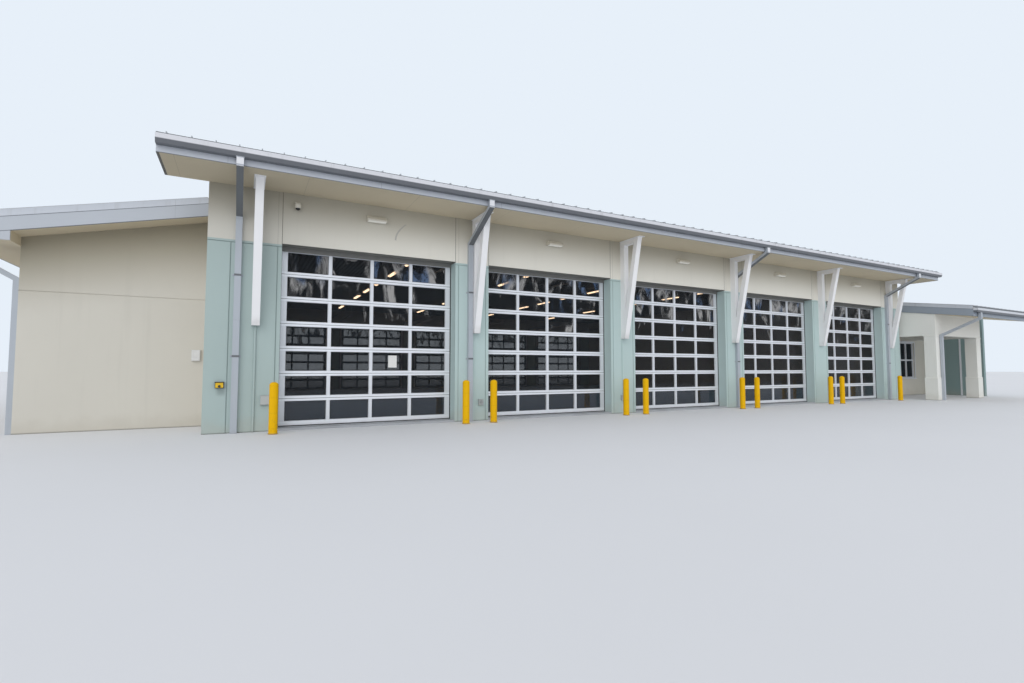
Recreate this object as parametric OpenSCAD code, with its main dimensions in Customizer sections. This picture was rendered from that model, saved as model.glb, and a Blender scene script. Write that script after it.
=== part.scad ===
// Fire station: a five-bay drive-through engine hall with a wing on each side.
// Millimetres, +Z up. The street front faces -Y, +X runs along it to the right.
// The origin is on the ground under the middle of the hall floor.

/* [Engine hall] */
// clear width of a vehicle doorway
door_w = 4267; // [3900:1:4500]
// clear height of a vehicle doorway above the ground
door_h = 4280; // [3900:1:4500]
// distance from one doorway to the next
bay_pitch = 5250; // [5000:1:5600]
// width of the pier at each end of the front
end_pier = 1480; // [1200:1:1800]
// depth of the hall from front face to rear face
hall_d = 24400; // [20000:100:26000]
// thickness of the front, rear and side walls of the hall
wall_t = 350; // [300:1:400]
// height of the flat soffit and of the ceiling of the hall
soffit_z = 5480; // [5300:1:5700]
// thickness of the floor slabs above the ground
floor_t = 50; // [30:1:100]
// thickness of the hall ceiling
ceiling_t = 60; // [40:1:100]
// height of the change of colour on the piers
band_z = 4255; // [4200:1:4290]
// height of the plain ledge over the grooves of the piers
ledge_h = 45; // [30:1:80]
// width of the grooves in the wall face
groove_w = 20; // [12:1:30]
// depth of the grooves in the wall face
groove_d = 12; // [6:1:20]
// distance of a pier groove from the edge of the doorway
groove_in = 90; // [60:1:140]
// distance of the extra groove from the end of the front
groove_end = 450; // [350:1:480]

/* [Glazed sectional doors] */
// overlap of a door behind the edge of its doorway
door_lap = 60; // [40:1:100]
// thickness of a door frame
door_t = 45; // [35:1:60]
// height of one door section
section_h = 588; // [570:1:600]
// height of the rail between two rows of panes
rail_h = 110; // [90:1:130]
// width of a mullion between two panes
mullion_w = 75; // [60:1:90]
// visible width of the outer stile of a door
stile_w = 146; // [120:1:170]
// height of the bottom rail above the floor
bottom_rail = 118; // [100:1:140]
// thickness of a glass sheet
glass_t = 8; // [6:1:12]
// width of the groove where two door sections meet
joint_w = 8; // [4:1:12]

/* [Roof and canopy] */
// distance from the front wall to the fascia
canopy_d = 1290; // [1200:1:1350]
// distance the canopy runs past each end of the front
canopy_side = 805; // [600:1:950]
// height of the roof surface above the fascia
eave_top = 5860; // [5820:1:5950]
// rise of the hall roof for one unit of run
roof_slope = 0.167; // [0.12:0.001:0.2]
// upright thickness of a roof slab
roof_t = 100; // [80:1:140]
// distance a roof edge runs past its fascia
drip = 50; // [30:1:60]
// thickness of soffit and fascia boards
board_t = 30; // [20:1:35]
// height of the ridge cap above the roof surface
ridge_h = 70; // [60:1:120]
// half width of the ridge cap
ridge_w = 260; // [200:1:400]

/* [Gutters and downspouts] */
// depth of a gutter from back to front
gutter_d = 168; // [150:1:180]
// depth of the flat bottom of a gutter
gutter_flat = 132; // [128:1:145]
// height of the bottom of the hall gutter
gutter_z = 5620; // [5560:1:5640]
// height of a gutter front lip above the gutter bottom
gutter_h = 170; // [150:1:180]
// height above the gutter bottom where the front lip starts
lip_start = 78; // [60:1:100]
// sheet thickness of a gutter
gutter_t = 8; // [5:1:12]
// width of a downspout
spout_w = 130; // [110:1:140]
// depth of a downspout
spout_d = 100; // [90:1:105]
// height where the hall leader meets the downspout
leader_z = 4760; // [4600:1:4800]
// height where the hall leader meets its outlet
outlet_z = 5426; // [5400:1:5440]
// thickness of a downspout strap
strap_t = 5; // [3:1:8]
// height of a downspout strap
strap_h = 45; // [30:1:60]
// height of the lower straps
strap_low = 1650; // [1400:1:1900]
// height of the upper straps
strap_high = 3440; // [3200:1:3700]
// gap between a gutter and the roof above it
gutter_gap = 4; // [2:1:10]

/* [Canopy brackets] */
// width of a bracket
bracket_w = 165; // [120:1:220]
// height of the foot of a bracket
bracket_z = 2370; // [2200:1:2600]
// depth of the foot of a bracket
bracket_foot = 185; // [170:1:240]
// reach of a bracket under the soffit
bracket_reach = 845; // [800:1:1100]
// thickness of the wall leg of a bracket
leg_t = 200; // [150:1:230]
// thickness of the strut of a bracket
strut_t = 165; // [120:1:190]
// height of the lower point of the slot in a bracket
slot_z = 3290; // [3250:1:3800]
// height of the bar over the slot in a bracket
bar_h = 150; // [100:1:250]
// distance from the end doorways to the middle of an end bracket
bracket_in = 505; // [450:1:540]
// gap between a bracket and the downspout beside it
spout_gap = 4; // [3:1:20]
// distance of the first downspout from the end of the front
spout_in = 600; // [560:1:640]

/* [Left wing] */
// distance of the wing fronts behind the hall front
wing_set = 1893; // [1700:1:2100]
// width of the left wing
left_w = 3570; // [3000:1:4000]
// wall thickness of both wings
wing_wall = 200; // [150:1:250]
// height of the left wing roof at the hall wall
left_top = 5505; // [5300:1:5550]
// fall of the left wing roof for one unit of run
left_slope = 0.2273; // [0.2:0.0001:0.25]
// distance from the left wing front wall to its fascia
rake_out = 600; // [500:1:700]
// distance from the left wing side wall to its fascia
eave_out = 930; // [850:1:950]
// height from the bottom of a wing fascia to the roof surface
fascia_h = 440; // [400:1:480]
// height of the flat soffit under the left eave
left_soffit = 4050; // [4000:1:4080]
// run of the level return of the left eave from the wall corner
eave_return = 180; // [120:1:260]
// height of the level groove in the left wing front
left_groove = 3090; // [2900:1:3200]
// height where the left wing leader meets its downspout
left_leader_z = 3300; // [3100:1:3400]
// height where the left wing leader meets its outlet
left_outlet_z = 3900; // [3700:1:4000]

/* [Right wing and porch] */
// width of the right wing up to its party wall face
right_w = 6900; // [6400:1:6950]
// height of the porch roof surface at its front edge
porch_top = 4110; // [4000:1:4200]
// rise of the right wing roof for one unit of run
right_slope = 0.16; // [0.14:0.001:0.17]
// distance of the porch front fascia before the hall front
porch_out = 2750; // [2500:1:2900]
// left edge of the porch roof from the hall side
porch_left = 142; // [110:1:200]
// width of the porch roof
porch_w = 5640; // [5200:1:5700]
// width of a porch column
column_w = 450; // [400:1:480]
// distance of the front of the columns before the hall front
column_out = 1350; // [1200:1:1450]
// distance from the first porch column to the second
column_pitch = 3980; // [3600:1:4000]
// height of the porch columns
column_h = 2930; // [2800:1:3000]
// height of the column base
base_h = 980; // [800:1:1100]
// distance a column base stands out all round
base_out = 20; // [12:1:30]
// thickness of the beams over the columns
beam_t = 300; // [250:1:400]
// left edge of the second wing window from the hall side
window_x = 4100; // [3900:1:4300]
// distance between the two windows
window_pitch = 2500; // [2200:1:2700]
// width of a wing window
window_w = 1480; // [1200:1:1600]
// height of a wing window
window_h = 1960; // [1700:1:2050]
// height of the window sill
sill_z = 917; // [850:1:1000]
// width of the window frame members
sash_w = 60; // [45:1:80]
// depth of the window frame members
sash_d = 60; // [45:1:80]
// distance of a window frame behind the wall face
window_in = 60; // [30:1:90]
// distance the end wall stands before the hall front
fin_out = 700; // [500:1:900]
// height of the end wall beside the porch
fin_h = 4300; // [3800:1:4350]
// height where the porch leader meets its downspout
porch_leader_z = 2900; // [2700:1:3000]
// height where the porch leader meets its outlet
porch_outlet_z = 3560; // [3400:1:3640]
// height where the rear leader of the right wing meets its downspout
rear_leader_z = 3880; // [3700:1:4000]
// height where the rear leader of the right wing meets its outlet
rear_outlet_z = 4250; // [4150:1:4300]
// distance of that downspout from the hall side
rear_spout_in = 700; // [500:1:1200]

/* [Small fittings] */
// diameter of a bollard
bollard_d = 180; // [160:1:220]
// height of a bollard
bollard_h = 1110; // [1000:1:1200]
// height of the rounded top of a bollard
dome_h = 50; // [35:1:70]
// distance of the bollards before the hall front
bollard_out = 600; // [500:1:1000]
// distance of a bollard beside the edge of its doorway
bollard_in = 100; // [20:1:140]
// distance of each pair of bollards to the left of its middle
bollard_shift = 25; // [0:1:60]
// width of a wall light
light_w = 480; // [350:1:600]
// height of a wall light
light_h = 130; // [100:1:160]
// distance a wall light stands off the wall
light_d = 180; // [140:1:220]
// height of the bottom of a wall light
light_z = 5050; // [4900:1:5100]
// distance of the camera from the edge of the first doorway
camera_in = 310; // [250:1:400]
// height of the camera
camera_z = 5190; // [5100:1:5300]
// width of the camera plate
camera_w = 120; // [100:1:140]
// length of a ceiling light
lamp_l = 1250; // [1100:1:1400]
// width of a ceiling light
lamp_w = 200; // [150:1:300]
// height of a ceiling light
lamp_h = 80; // [60:1:120]
// distance between ceiling lights in a row
lamp_pitch = 2550; // [2400:1:3000]
// distance a wall box stands off the wall
plate_d = 60; // [40:1:80]
// width of the call box
call_w = 170; // [140:1:200]
// height of the bottom of the call box
call_z = 980; // [900:1:1100]
// distance of the call box to the left of the first downspout
call_in = 287; // [260:1:320]
// width of the outlet cover on the first pier
cover_w = 190; // [160:1:220]
// height of the bottom of the outlet cover
cover_z = 590; // [500:1:700]
// distance of the outlet cover from the first doorway
cover_in = 276; // [250:1:300]
// width of a hose box
hose_w = 140; // [120:1:160]
// height of the bottom of the hose boxes
hose_z = 420; // [350:1:500]
// distance of the hose box to the right of the second bracket
hose_in = 172; // [150:1:200]
// width of the meter box on the left wing
meter_w = 182; // [150:1:220]
// height of the bottom of the meter box
meter_z = 1590; // [1400:1:1700]
// distance of the meter box from the hall corner
meter_in = 267; // [220:1:320]

/* [Hidden] */
bays = 5;
lamp_count = 8;
pane_cols = 4;
pane_rows = 7;
over = 1;
round_sides = 24;
hall_l = 2 * end_pier + (bays - 1) * bay_pitch + door_w;
xl = -hall_l / 2;
xr = hall_l / 2;
yf = -hall_d / 2;
yr = hall_d / 2;
yi = yf + wall_t;
groove_top = band_z - ledge_h;
yw = yf + wing_set;
eave_y = yf - canopy_d;
lx = xl - left_w;
lex = lx - eave_out;
rx = xr + right_w;
px0 = xr + porch_left;
px1 = px0 + porch_w;
porch_y = yf - porch_out;
col_x = px0 + board_t;
col_y = yf - column_out;
col_end = col_x + column_pitch + column_w;

function door_x(i) = xl + end_pier + i * bay_pitch;
function pier_l(i) = i == 0 ? xl : door_x(i - 1) + door_w;
function pier_r(i) = i == bays ? xr : door_x(i);
function hall_top(y) = eave_top + (y - eave_y) * roof_slope;
function hall_under(y) = hall_top(y) - roof_t;
function left_roof(x) = left_top + (x - xl) * left_slope;
function left_under(x) = left_roof(x) - roof_t;
function right_roof(y) = porch_top + (y - porch_y) * right_slope;
function right_under(y) = right_roof(y) - roof_t;
spout_side = bracket_w / 2 + spout_w / 2 + strap_t + spout_gap;
// brackets stand in the middle of a pier, or a little aside where a downspout shares the pier
pair_shift = [0, spout_side / 2, 0, -spout_side / 2, 0, 0];
function pier_mid(i) = (pier_l(i) + pier_r(i)) / 2 + pair_shift[i];
function bracket_x(i) = i == 0 ? door_x(0) - bracket_in : i == bays ? pier_l(bays) + bracket_in : pier_mid(i);
left_gutter_z = left_under(lex) - gutter_h - gutter_gap;
porch_gutter_z = right_under(porch_y) - gutter_h - gutter_gap;
rear_gutter_z = right_under(yw - rake_out) - gutter_h - gutter_gap;
strut_lean = (bracket_reach - bracket_foot) / (soffit_z - bracket_z);
function strut_front(z) = bracket_foot + (z - bracket_z) * strut_lean;

// a profile drawn in Y and Z, run along X
module along_x(x, length) {
    translate([x, 0, 0])
        rotate([90, 0, 90])
            linear_extrude(height = length)
                children();
}

// a profile drawn in X and Z, run along Y
module along_y(y, length) {
    translate([0, y + length, 0])
        rotate([90, 0, 0])
            linear_extrude(height = length)
                children();
}

module box(x0, x1, y0, y1, z0, z1) {
    translate([x0, y0, z0])
        cube([x1 - x0, y1 - y0, z1 - z0]);
}

module turned() {
    rotate([0, 0, 180])
        children();
}

module hall_floor() {
    color([0.45, 0.45, 0.45])
        union() {
            box(xl + wall_t, xr - wall_t, yi, -yi, 0, floor_t);
            for (i = [0 : bays - 1]) {
                box(door_x(i), door_x(i) + door_w, yf, yi + over, 0, floor_t);
                box(door_x(i), door_x(i) + door_w, -yi - over, yr, 0, floor_t);
            }
        }
}

// section of the front wall from a given height up to the roof
module wall_section(z0) {
    polygon([[yf, z0], [yi, z0], [yi, hall_under(yi)], [yf, hall_under(yf)]]);
}

module groove_up(x) {
    box(x - groove_w / 2, x + groove_w / 2, yf - over, yf + groove_d, -over, groove_top);
}

module piers() {
    for (i = [0 : bays])
        difference() {
            along_x(pier_l(i), pier_r(i) - pier_l(i))
                wall_section(0);
            box(pier_l(i) - over, pier_r(i) + over, yf - over, yf + groove_d, groove_top - groove_w, groove_top);
            if (i > 0)
                groove_up(pier_l(i) + groove_in);
            if (i < bays)
                groove_up(pier_r(i) - groove_in);
            if (i == 0)
                groove_up(xl + groove_end);
            if (i == bays)
                groove_up(xr - groove_end);
        }
}

module headers() {
    for (i = [0 : bays - 1])
        along_x(door_x(i), door_w)
            wall_section(door_h);
}

module front_piers() {
    color([0.55, 0.68, 0.66])
        piers();
}

module front_door_headers() {
    color([0.86, 0.84, 0.78])
        headers();
}

module rear_piers() {
    color([0.55, 0.68, 0.66])
        turned()
            piers();
}

module rear_door_headers() {
    color([0.86, 0.84, 0.78])
        turned()
            headers();
}

module gable(x) {
    along_x(x, wall_t)
        polygon([[yi, 0], [-yi, 0], [-yi, hall_under(yi)], [0, hall_under(0)], [yi, hall_under(yi)]]);
}

module hall_gable_walls() {
    color([0.86, 0.84, 0.78]) {
        gable(xl);
        gable(xr - wall_t);
    }
}

module hall_ceiling() {
    color([0.8, 0.8, 0.8])
        box(xl + wall_t, xr - wall_t, yi, -yi, soffit_z, soffit_z + ceiling_t);
}

// one sectional door: rails at each section joint, three mullions, seven rows of panes
module door_frame(i) {
    x0 = door_x(i);
    glass_w = door_w - 2 * stile_w;
    pane_w = (glass_w - (pane_cols - 1) * mullion_w) / pane_cols;
    pane_h = section_h - rail_h;
    z0 = floor_t + bottom_rail;
    difference() {
        box(x0 - door_lap, x0 + door_w + door_lap, yi, yi + door_t, floor_t, door_h + door_lap);
        for (r = [0 : pane_rows - 1])
            for (c = [0 : pane_cols - 1])
                translate([x0 + stile_w + c * (pane_w + mullion_w), yi - over, z0 + r * section_h])
                    cube([pane_w, door_t + 2 * over, pane_h]);
        for (r = [1 : pane_rows - 1])
            translate([x0 - door_lap - over, yi - over, z0 + r * section_h - (rail_h + joint_w) / 2])
                cube([door_w + 2 * (door_lap + over), joint_w + over, joint_w]);
    }
}

// the glass of one door, behind its frame
module door_sheet(i) {
    x0 = door_x(i);
    y = yi + door_t;
    top = floor_t + bottom_rail + pane_rows * section_h - rail_h;
    edge = bottom_rail / 2;
    box(x0 + edge, x0 + door_w - edge, y, y + glass_t, floor_t + edge, top + edge);
}

module front_doors() {
    color([0.85, 0.87, 0.9])
        for (i = [0 : bays - 1])
            door_frame(i);
}

module front_door_glass() {
    color([0.2, 0.25, 0.3, 0.5])
        for (i = [0 : bays - 1])
            door_sheet(i);
}

module rear_doors() {
    color([0.85, 0.87, 0.9])
        turned()
            for (i = [0 : bays - 1])
                door_frame(i);
}

module rear_door_glass() {
    color([0.2, 0.25, 0.3, 0.5])
        turned()
            for (i = [0 : bays - 1])
                door_sheet(i);
}

// flat soffit, fascia and closed ends in front of the wall
module canopy() {
    x0 = xl - canopy_side;
    x1 = xr + canopy_side;
    union() {
        along_x(x0, x1 - x0)
            polygon([[eave_y, soffit_z], [yf, soffit_z], [yf, soffit_z + board_t],
                [eave_y + board_t, soffit_z + board_t], [eave_y + board_t, hall_under(eave_y + board_t)],
                [eave_y, hall_under(eave_y)]]);
        for (x = [x0, x1 - board_t])
            along_x(x, board_t)
                polygon([[eave_y, soffit_z], [yf, soffit_z], [yf, hall_under(yf)],
                    [eave_y, hall_under(eave_y)]]);
        for (x = [x0, xr])
            along_x(x, canopy_side)
                polygon([[yf - board_t, soffit_z], [yf, soffit_z], [yf, hall_under(yf)],
                    [yf - board_t, hall_under(yf - board_t)]]);
    }
}

module front_canopy() {
    color([0.84, 0.83, 0.78])
        canopy();
}

module rear_canopy() {
    color([0.84, 0.83, 0.78])
        turned()
            canopy();
}

// one slope of the hall roof, wider in front of the wall
module slope() {
    x0 = xl - canopy_side;
    y0 = eave_y - drip;
    union() {
        along_x(x0, hall_l + 2 * canopy_side)
            polygon([[y0, hall_under(y0)], [yf, hall_under(yf)], [yf, hall_top(yf)], [y0, hall_top(y0)]]);
        along_x(xl, hall_l)
            polygon([[yf - over, hall_under(yf - over)], [0, hall_under(0)], [0, hall_top(0)],
                [yf - over, hall_top(yf - over)]]);
    }
}

module front_roof() {
    color([0.72, 0.73, 0.75])
        slope();
}

module rear_roof() {
    color([0.72, 0.73, 0.75])
        turned()
            slope();
}

module ridge_cap() {
    color([0.7, 0.71, 0.73])
        along_x(xl, hall_l)
            polygon([[-ridge_w, hall_top(-ridge_w)], [0, hall_top(0)], [ridge_w, hall_top(-ridge_w)],
                [ridge_w, hall_top(-ridge_w) + ridge_h], [0, hall_top(0) + ridge_h],
                [-ridge_w, hall_top(-ridge_w) + ridge_h]]);
}

// section of a gutter, its back at 0 and its bottom at 0, opening upwards
module gutter_section(back_h) {
    polygon([[0, 0], [-gutter_flat, 0], [-gutter_d, lip_start], [-gutter_d, gutter_h],
        [-gutter_d + gutter_t, gutter_h], [-gutter_d + gutter_t, lip_start + gutter_t / 2],
        [-gutter_flat + gutter_t / 2, gutter_t], [-gutter_t, gutter_t], [-gutter_t, back_h], [0, back_h]]);
}

module end_section(back_h) {
    polygon([[0, 0], [-gutter_flat, 0], [-gutter_d, lip_start], [-gutter_d, gutter_h], [-gutter_t, back_h],
        [0, back_h]]);
}

module gutter_along_x(x0, x1, y, z, back_h) {
    translate([0, y, z])
        union() {
            along_x(x0, x1 - x0)
                gutter_section(back_h);
            for (x = [x0, x1 - gutter_t])
                along_x(x, gutter_t)
                    end_section(back_h);
        }
}

module hall_gutter() {
    back_h = hall_under(eave_y - drip) - gutter_z - gutter_gap;
    gutter_along_x(xl - canopy_side, xr + canopy_side, eave_y, gutter_z, back_h);
}

module front_gutter() {
    color([0.66, 0.68, 0.7])
        hall_gutter();
}

module rear_gutter() {
    color([0.66, 0.68, 0.7])
        turned()
            hall_gutter();
}

// downspout against a wall with a sloping leader out to the gutter: wall face, back of the outlet,
// heights of the two bends and of the gutter bottom
module leader_profile(wall, out, low, high, top) {
    rise = (high - low) / (wall - spout_d - out);
    thick = spout_d * sqrt(1 + rise * rise);
    polygon([[wall, 0], [wall, low - rise * spout_d + thick], [out + spout_d, high - rise * spout_d + thick],
        [out + spout_d, top], [out, top], [out, high], [wall - spout_d, low], [wall - spout_d, 0]]);
}

module hall_spouts() {
    for (x = [xl + spout_in, bracket_x(1) - spout_side, bracket_x(3) + spout_side, bracket_x(5) - spout_side])
        union() {
            along_x(x - spout_w / 2, spout_w)
                leader_profile(yf, eave_y - gutter_flat, leader_z, outlet_z, gutter_z);
            for (z = [strap_low, strap_high])
                translate([x - spout_w / 2 - strap_t, yf - spout_d - strap_t, z])
                    cube([spout_w + 2 * strap_t, spout_d + strap_t, strap_h]);
        }
}

module front_downspouts() {
    color([0.66, 0.68, 0.7])
        hall_spouts();
}

module rear_downspouts() {
    color([0.66, 0.68, 0.7])
        turned()
            hall_spouts();
}

// a tapered bracket: wall leg, leaning strut and a long slot between them
module bracket(x) {
    slot_top = soffit_z - bar_h;
    along_x(x - bracket_w / 2, bracket_w)
        difference() {
            polygon([[yf, bracket_z], [yf, soffit_z], [yf - bracket_reach, soffit_z],
                [yf - bracket_foot, bracket_z]]);
            polygon([[yf - leg_t, slot_z], [yf - leg_t, slot_top],
                [yf - strut_front(slot_top) + strut_t, slot_top],
                [yf - strut_front(slot_z) + strut_t, slot_z]]);
        }
}

module brackets() {
    for (i = [0 : bays])
        bracket(bracket_x(i));
}

module front_brackets() {
    color([0.93, 0.94, 0.94])
        brackets();
}

module rear_brackets() {
    color([0.93, 0.94, 0.94])
        turned()
            brackets();
}

module left_end_wall(y) {
    along_y(y, wing_wall)
        polygon([[lx, 0], [xl, 0], [xl, left_under(xl)], [lx, left_under(lx)]]);
}

module left_wing_end_walls() {
    color([0.86, 0.84, 0.78])
        difference() {
            for (y = [yw, -yw - wing_wall])
                left_end_wall(y);
            translate([lx - over, yw - over, left_groove - groove_w / 2])
                cube([left_w + 2 * over, groove_d + over, groove_w]);
        }
}

module left_wing_side_wall() {
    x1 = lx + wing_wall;
    color([0.86, 0.84, 0.78])
        along_y(yw + wing_wall, -2 * (yw + wing_wall))
            polygon([[lx, 0], [x1, 0], [x1, left_under(x1)], [lx, left_under(lx)]]);
}

module left_wing_roof() {
    y0 = yw - rake_out;
    color([0.72, 0.73, 0.75])
        along_y(y0, -2 * y0)
            polygon([[lex, left_under(lex)], [xl, left_under(xl)], [xl, left_roof(xl)],
                [lex, left_roof(lex)]]);
}

// board and soffit under a sloping edge of the left wing roof; the board turns level at the eave
module rake(y0, y1) {
    ex = lex + board_t;
    rx0 = lx - eave_return;
    rx1 = rx0 + board_t;
    drop_z = left_soffit + board_t;
    union() {
        along_y(y0, board_t)
            polygon([[ex, left_soffit], [rx0, left_soffit], [rx0, left_roof(rx0) - fascia_h],
                [xl, left_roof(xl) - fascia_h], [xl, left_under(xl)], [ex, left_under(ex)]]);
        along_y(y1, rake_out)
            polygon([[rx0, drop_z], [rx1, drop_z], [rx1, left_roof(rx1) - fascia_h],
                [xl, left_roof(xl) - fascia_h], [xl, left_roof(xl) - fascia_h + board_t],
                [rx0, left_roof(rx0) - fascia_h + board_t]]);
    }
}

module left_wing_rakes() {
    y0 = yw - rake_out;
    color([0.8, 0.81, 0.82]) {
        rake(y0, y0);
        rake(-y0 - board_t, -yw);
    }
}

// fascia and flat soffit along the left eave
module left_wing_eave() {
    y0 = yw - rake_out;
    ex = lex + board_t;
    color([0.8, 0.81, 0.82])
        union() {
            along_y(y0, -2 * y0)
                polygon([[lex, left_soffit], [ex, left_soffit], [ex, left_under(ex)], [lex, left_under(lex)]]);
            box(lex, lx, y0 + board_t, -y0 - board_t, left_soffit, left_soffit + board_t);
        }
}

module left_gutter() {
    y0 = yw - rake_out;
    translate([lex, 0, left_gutter_z])
        union() {
            along_y(y0, -2 * y0)
                gutter_section(gutter_h);
            for (y = [y0, -y0 - gutter_t])
                along_y(y, gutter_t)
                    end_section(gutter_h);
        }
}

module wing_gutters() {
    color([0.66, 0.68, 0.7]) {
        left_gutter();
        gutter_along_x(px0, px1, porch_y, porch_gutter_z, gutter_h);
        mirror([0, 1, 0])
            gutter_along_x(xr, rx, yw - rake_out, rear_gutter_z, gutter_h);
    }
}

module wing_downspouts() {
    color([0.66, 0.68, 0.7]) {
        for (y = [yw, -yw - spout_w])
            along_y(y, spout_w)
                leader_profile(lx, lex - gutter_flat, left_leader_z, left_outlet_z, left_gutter_z);
        along_x(col_x + column_w - spout_w, spout_w)
            leader_profile(col_y - base_out, porch_y - gutter_flat, porch_leader_z, porch_outlet_z,
                porch_gutter_z);
        mirror([0, 1, 0])
            along_x(xr + rear_spout_in, spout_w)
                leader_profile(yw, yw - rake_out - gutter_flat, rear_leader_z, rear_outlet_z, rear_gutter_z);
    }
}

module wing_floors() {
    color([0.5, 0.5, 0.5]) {
        box(lx + wing_wall, xl, yw + wing_wall, -yw - wing_wall, 0, floor_t);
        box(xr, rx - wing_wall, yw + wing_wall, -yw - wing_wall, 0, floor_t);
    }
}

module window_wall() {
    difference() {
        along_x(xr, right_w - wing_wall)
            polygon([[yw, 0], [yw + wing_wall, 0], [yw + wing_wall, right_under(yw + wing_wall)],
                [yw, right_under(yw)]]);
        for (k = [0, 1])
            translate([xr + window_x - k * window_pitch, yw - over, sill_z])
                cube([window_w, wing_wall + 2 * over, window_h]);
    }
}

module right_wing_window_walls() {
    color([0.86, 0.84, 0.78]) {
        window_wall();
        mirror([0, 1, 0])
            window_wall();
    }
}

module party_wall() {
    color([0.4, 0.55, 0.55])
        union() {
            along_x(rx - wing_wall, wing_wall)
                polygon([[yw, 0], [-yw, 0], [-yw, right_under(yw)], [0, right_under(0)],
                    [yw, right_under(yw)]]);
            box(rx - wing_wall, rx, yf - fin_out, yw + over, 0, fin_h);
        }
}

module right_wing_roof() {
    y0 = yw - rake_out;
    color([0.72, 0.73, 0.75])
        union() {
            along_x(xr, right_w)
                polygon([[y0, right_under(y0)], [0, right_under(0)], [-y0, right_under(y0)],
                    [-y0, right_roof(y0)], [0, right_roof(0)], [y0, right_roof(y0)]]);
            along_x(px0, porch_w)
                polygon([[porch_y, right_under(porch_y)], [y0 + over, right_under(y0 + over)],
                    [y0 + over, right_roof(y0 + over)], [porch_y, right_roof(porch_y)]]);
        }
}

// a window of two by two panes
module window_frame(x) {
    y = yw + window_in;
    pane_w = (window_w - 3 * sash_w) / 2;
    pane_h = (window_h - 3 * sash_w) / 2;
    x0 = x + sash_w;
    z0 = sill_z + sash_w;
    difference() {
        box(x, x + window_w, y, y + sash_d, sill_z, sill_z + window_h);
        for (c = [0, 1])
            for (r = [0, 1])
                translate([x0 + c * (pane_w + sash_w), y - over, z0 + r * (pane_h + sash_w)])
                    cube([pane_w, sash_d + 2 * over, pane_h]);
    }
}

module wing_windows() {
    color([0.92, 0.93, 0.93])
        for (k = [0, 1]) {
            window_frame(xr + window_x - k * window_pitch);
            mirror([0, 1, 0])
                window_frame(xr + window_x - k * window_pitch);
        }
}

module window_sheet(x) {
    y = yw + window_in + sash_d;
    box(x, x + window_w, y, y + glass_t, sill_z, sill_z + window_h);
}

module wing_window_glass() {
    color([0.2, 0.25, 0.3, 0.5])
        for (k = [0, 1]) {
            window_sheet(xr + window_x - k * window_pitch);
            mirror([0, 1, 0])
                window_sheet(xr + window_x - k * window_pitch);
        }
}

module porch_columns() {
    color([0.85, 0.85, 0.82])
        for (k = [0, 1])
            translate([col_x + k * column_pitch, col_y, 0])
                union() {
                    cube([column_w, column_w, column_h]);
                    translate([-base_out, -base_out, 0])
                        cube([column_w + 2 * base_out, column_w + 2 * base_out, base_h]);
                }
}

module beam_section(y0, y1) {
    polygon([[y0, column_h], [y1, column_h], [y1, right_under(y1)], [y0, right_under(y0)]]);
}

// two beams back to the wing wall and one over the front of the columns
module porch_beams() {
    color([0.86, 0.84, 0.78])
        union() {
            for (x = [col_x, col_end - beam_t])
                along_x(x, beam_t)
                    beam_section(col_y, yw);
            along_x(col_x, col_end - col_x)
                beam_section(col_y, col_y + beam_t);
        }
}

// front board of the porch roof with the strip of soffit behind it
module porch_fascia() {
    back = porch_y + board_t;
    color([0.8, 0.81, 0.82])
        along_x(px0 + board_t, porch_w - 2 * board_t)
            polygon([[porch_y, right_roof(porch_y) - fascia_h], [col_y, right_roof(col_y) - fascia_h],
                [col_y, right_roof(col_y) - fascia_h + board_t], [back, right_roof(back) - fascia_h + board_t],
                [back, right_under(back)], [porch_y, right_under(porch_y)]]);
}

// sloping side boards of the porch roof, and the soffit strip beside the right beam
module porch_rakes() {
    color([0.8, 0.81, 0.82]) {
        side_board(px0);
        union() {
            side_board(px1 - board_t);
            along_x(col_end, px1 - col_end)
                polygon([[col_y, right_roof(col_y) - fascia_h], [yw, right_roof(yw) - fascia_h],
                    [yw, right_roof(yw) - fascia_h + board_t],
                    [col_y, right_roof(col_y) - fascia_h + board_t]]);
        }
    }
}

module side_board(x) {
    along_x(x, board_t)
        polygon([[porch_y, right_roof(porch_y) - fascia_h], [yw, right_roof(yw) - fascia_h],
            [yw, right_under(yw)], [porch_y, right_under(porch_y)]]);
}

module right_wing_eaves() {
    color([0.8, 0.81, 0.82]) {
        mirror([0, 1, 0])
            eave_box(xr, rx);
        eave_box(px1, rx);
    }
}

// fascia and soffit in front of a wing wall
module eave_box(x0, x1) {
    y0 = yw - rake_out;
    z0 = right_roof(y0) - fascia_h;
    along_x(x0, x1 - x0)
        polygon([[y0, z0], [yw, z0], [yw, z0 + board_t], [y0 + board_t, z0 + board_t],
            [y0 + board_t, right_under(y0 + board_t)], [y0, right_under(y0)]]);
}

module bollard(x) {
    r = bollard_d / 2;
    shoulder = 0.6 * dome_h;
    translate([x, yf - bollard_out, 0])
        union() {
            cylinder(h = bollard_h - dome_h, r = r, $fn = round_sides);
            translate([0, 0, bollard_h - dome_h])
                cylinder(h = shoulder, r1 = r, r2 = 0.8 * r, $fn = round_sides);
            translate([0, 0, bollard_h - dome_h + shoulder])
                cylinder(h = dome_h - shoulder, r1 = 0.8 * r, r2 = 0.4 * r, $fn = round_sides);
        }
}

module bollards() {
    color([0.95, 0.75, 0.05])
        for (i = [0 : bays - 1]) {
            bollard(door_x(i) - bollard_in - bollard_shift);
            bollard(door_x(i) + door_w + bollard_in - bollard_shift);
        }
}

// a wedge with a flat top, one over the middle of each doorway
module wall_lights() {
    top = light_z + light_h;
    color([0.93, 0.93, 0.9])
        for (i = [0 : bays - 1])
            along_x(door_x(i) + (door_w - light_w) / 2, light_w)
                polygon([[yf, light_z], [yf, top], [yf - light_d / 2, top],
                    [yf - light_d, light_z + 0.3 * light_h], [yf - light_d, light_z]]);
}

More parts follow.
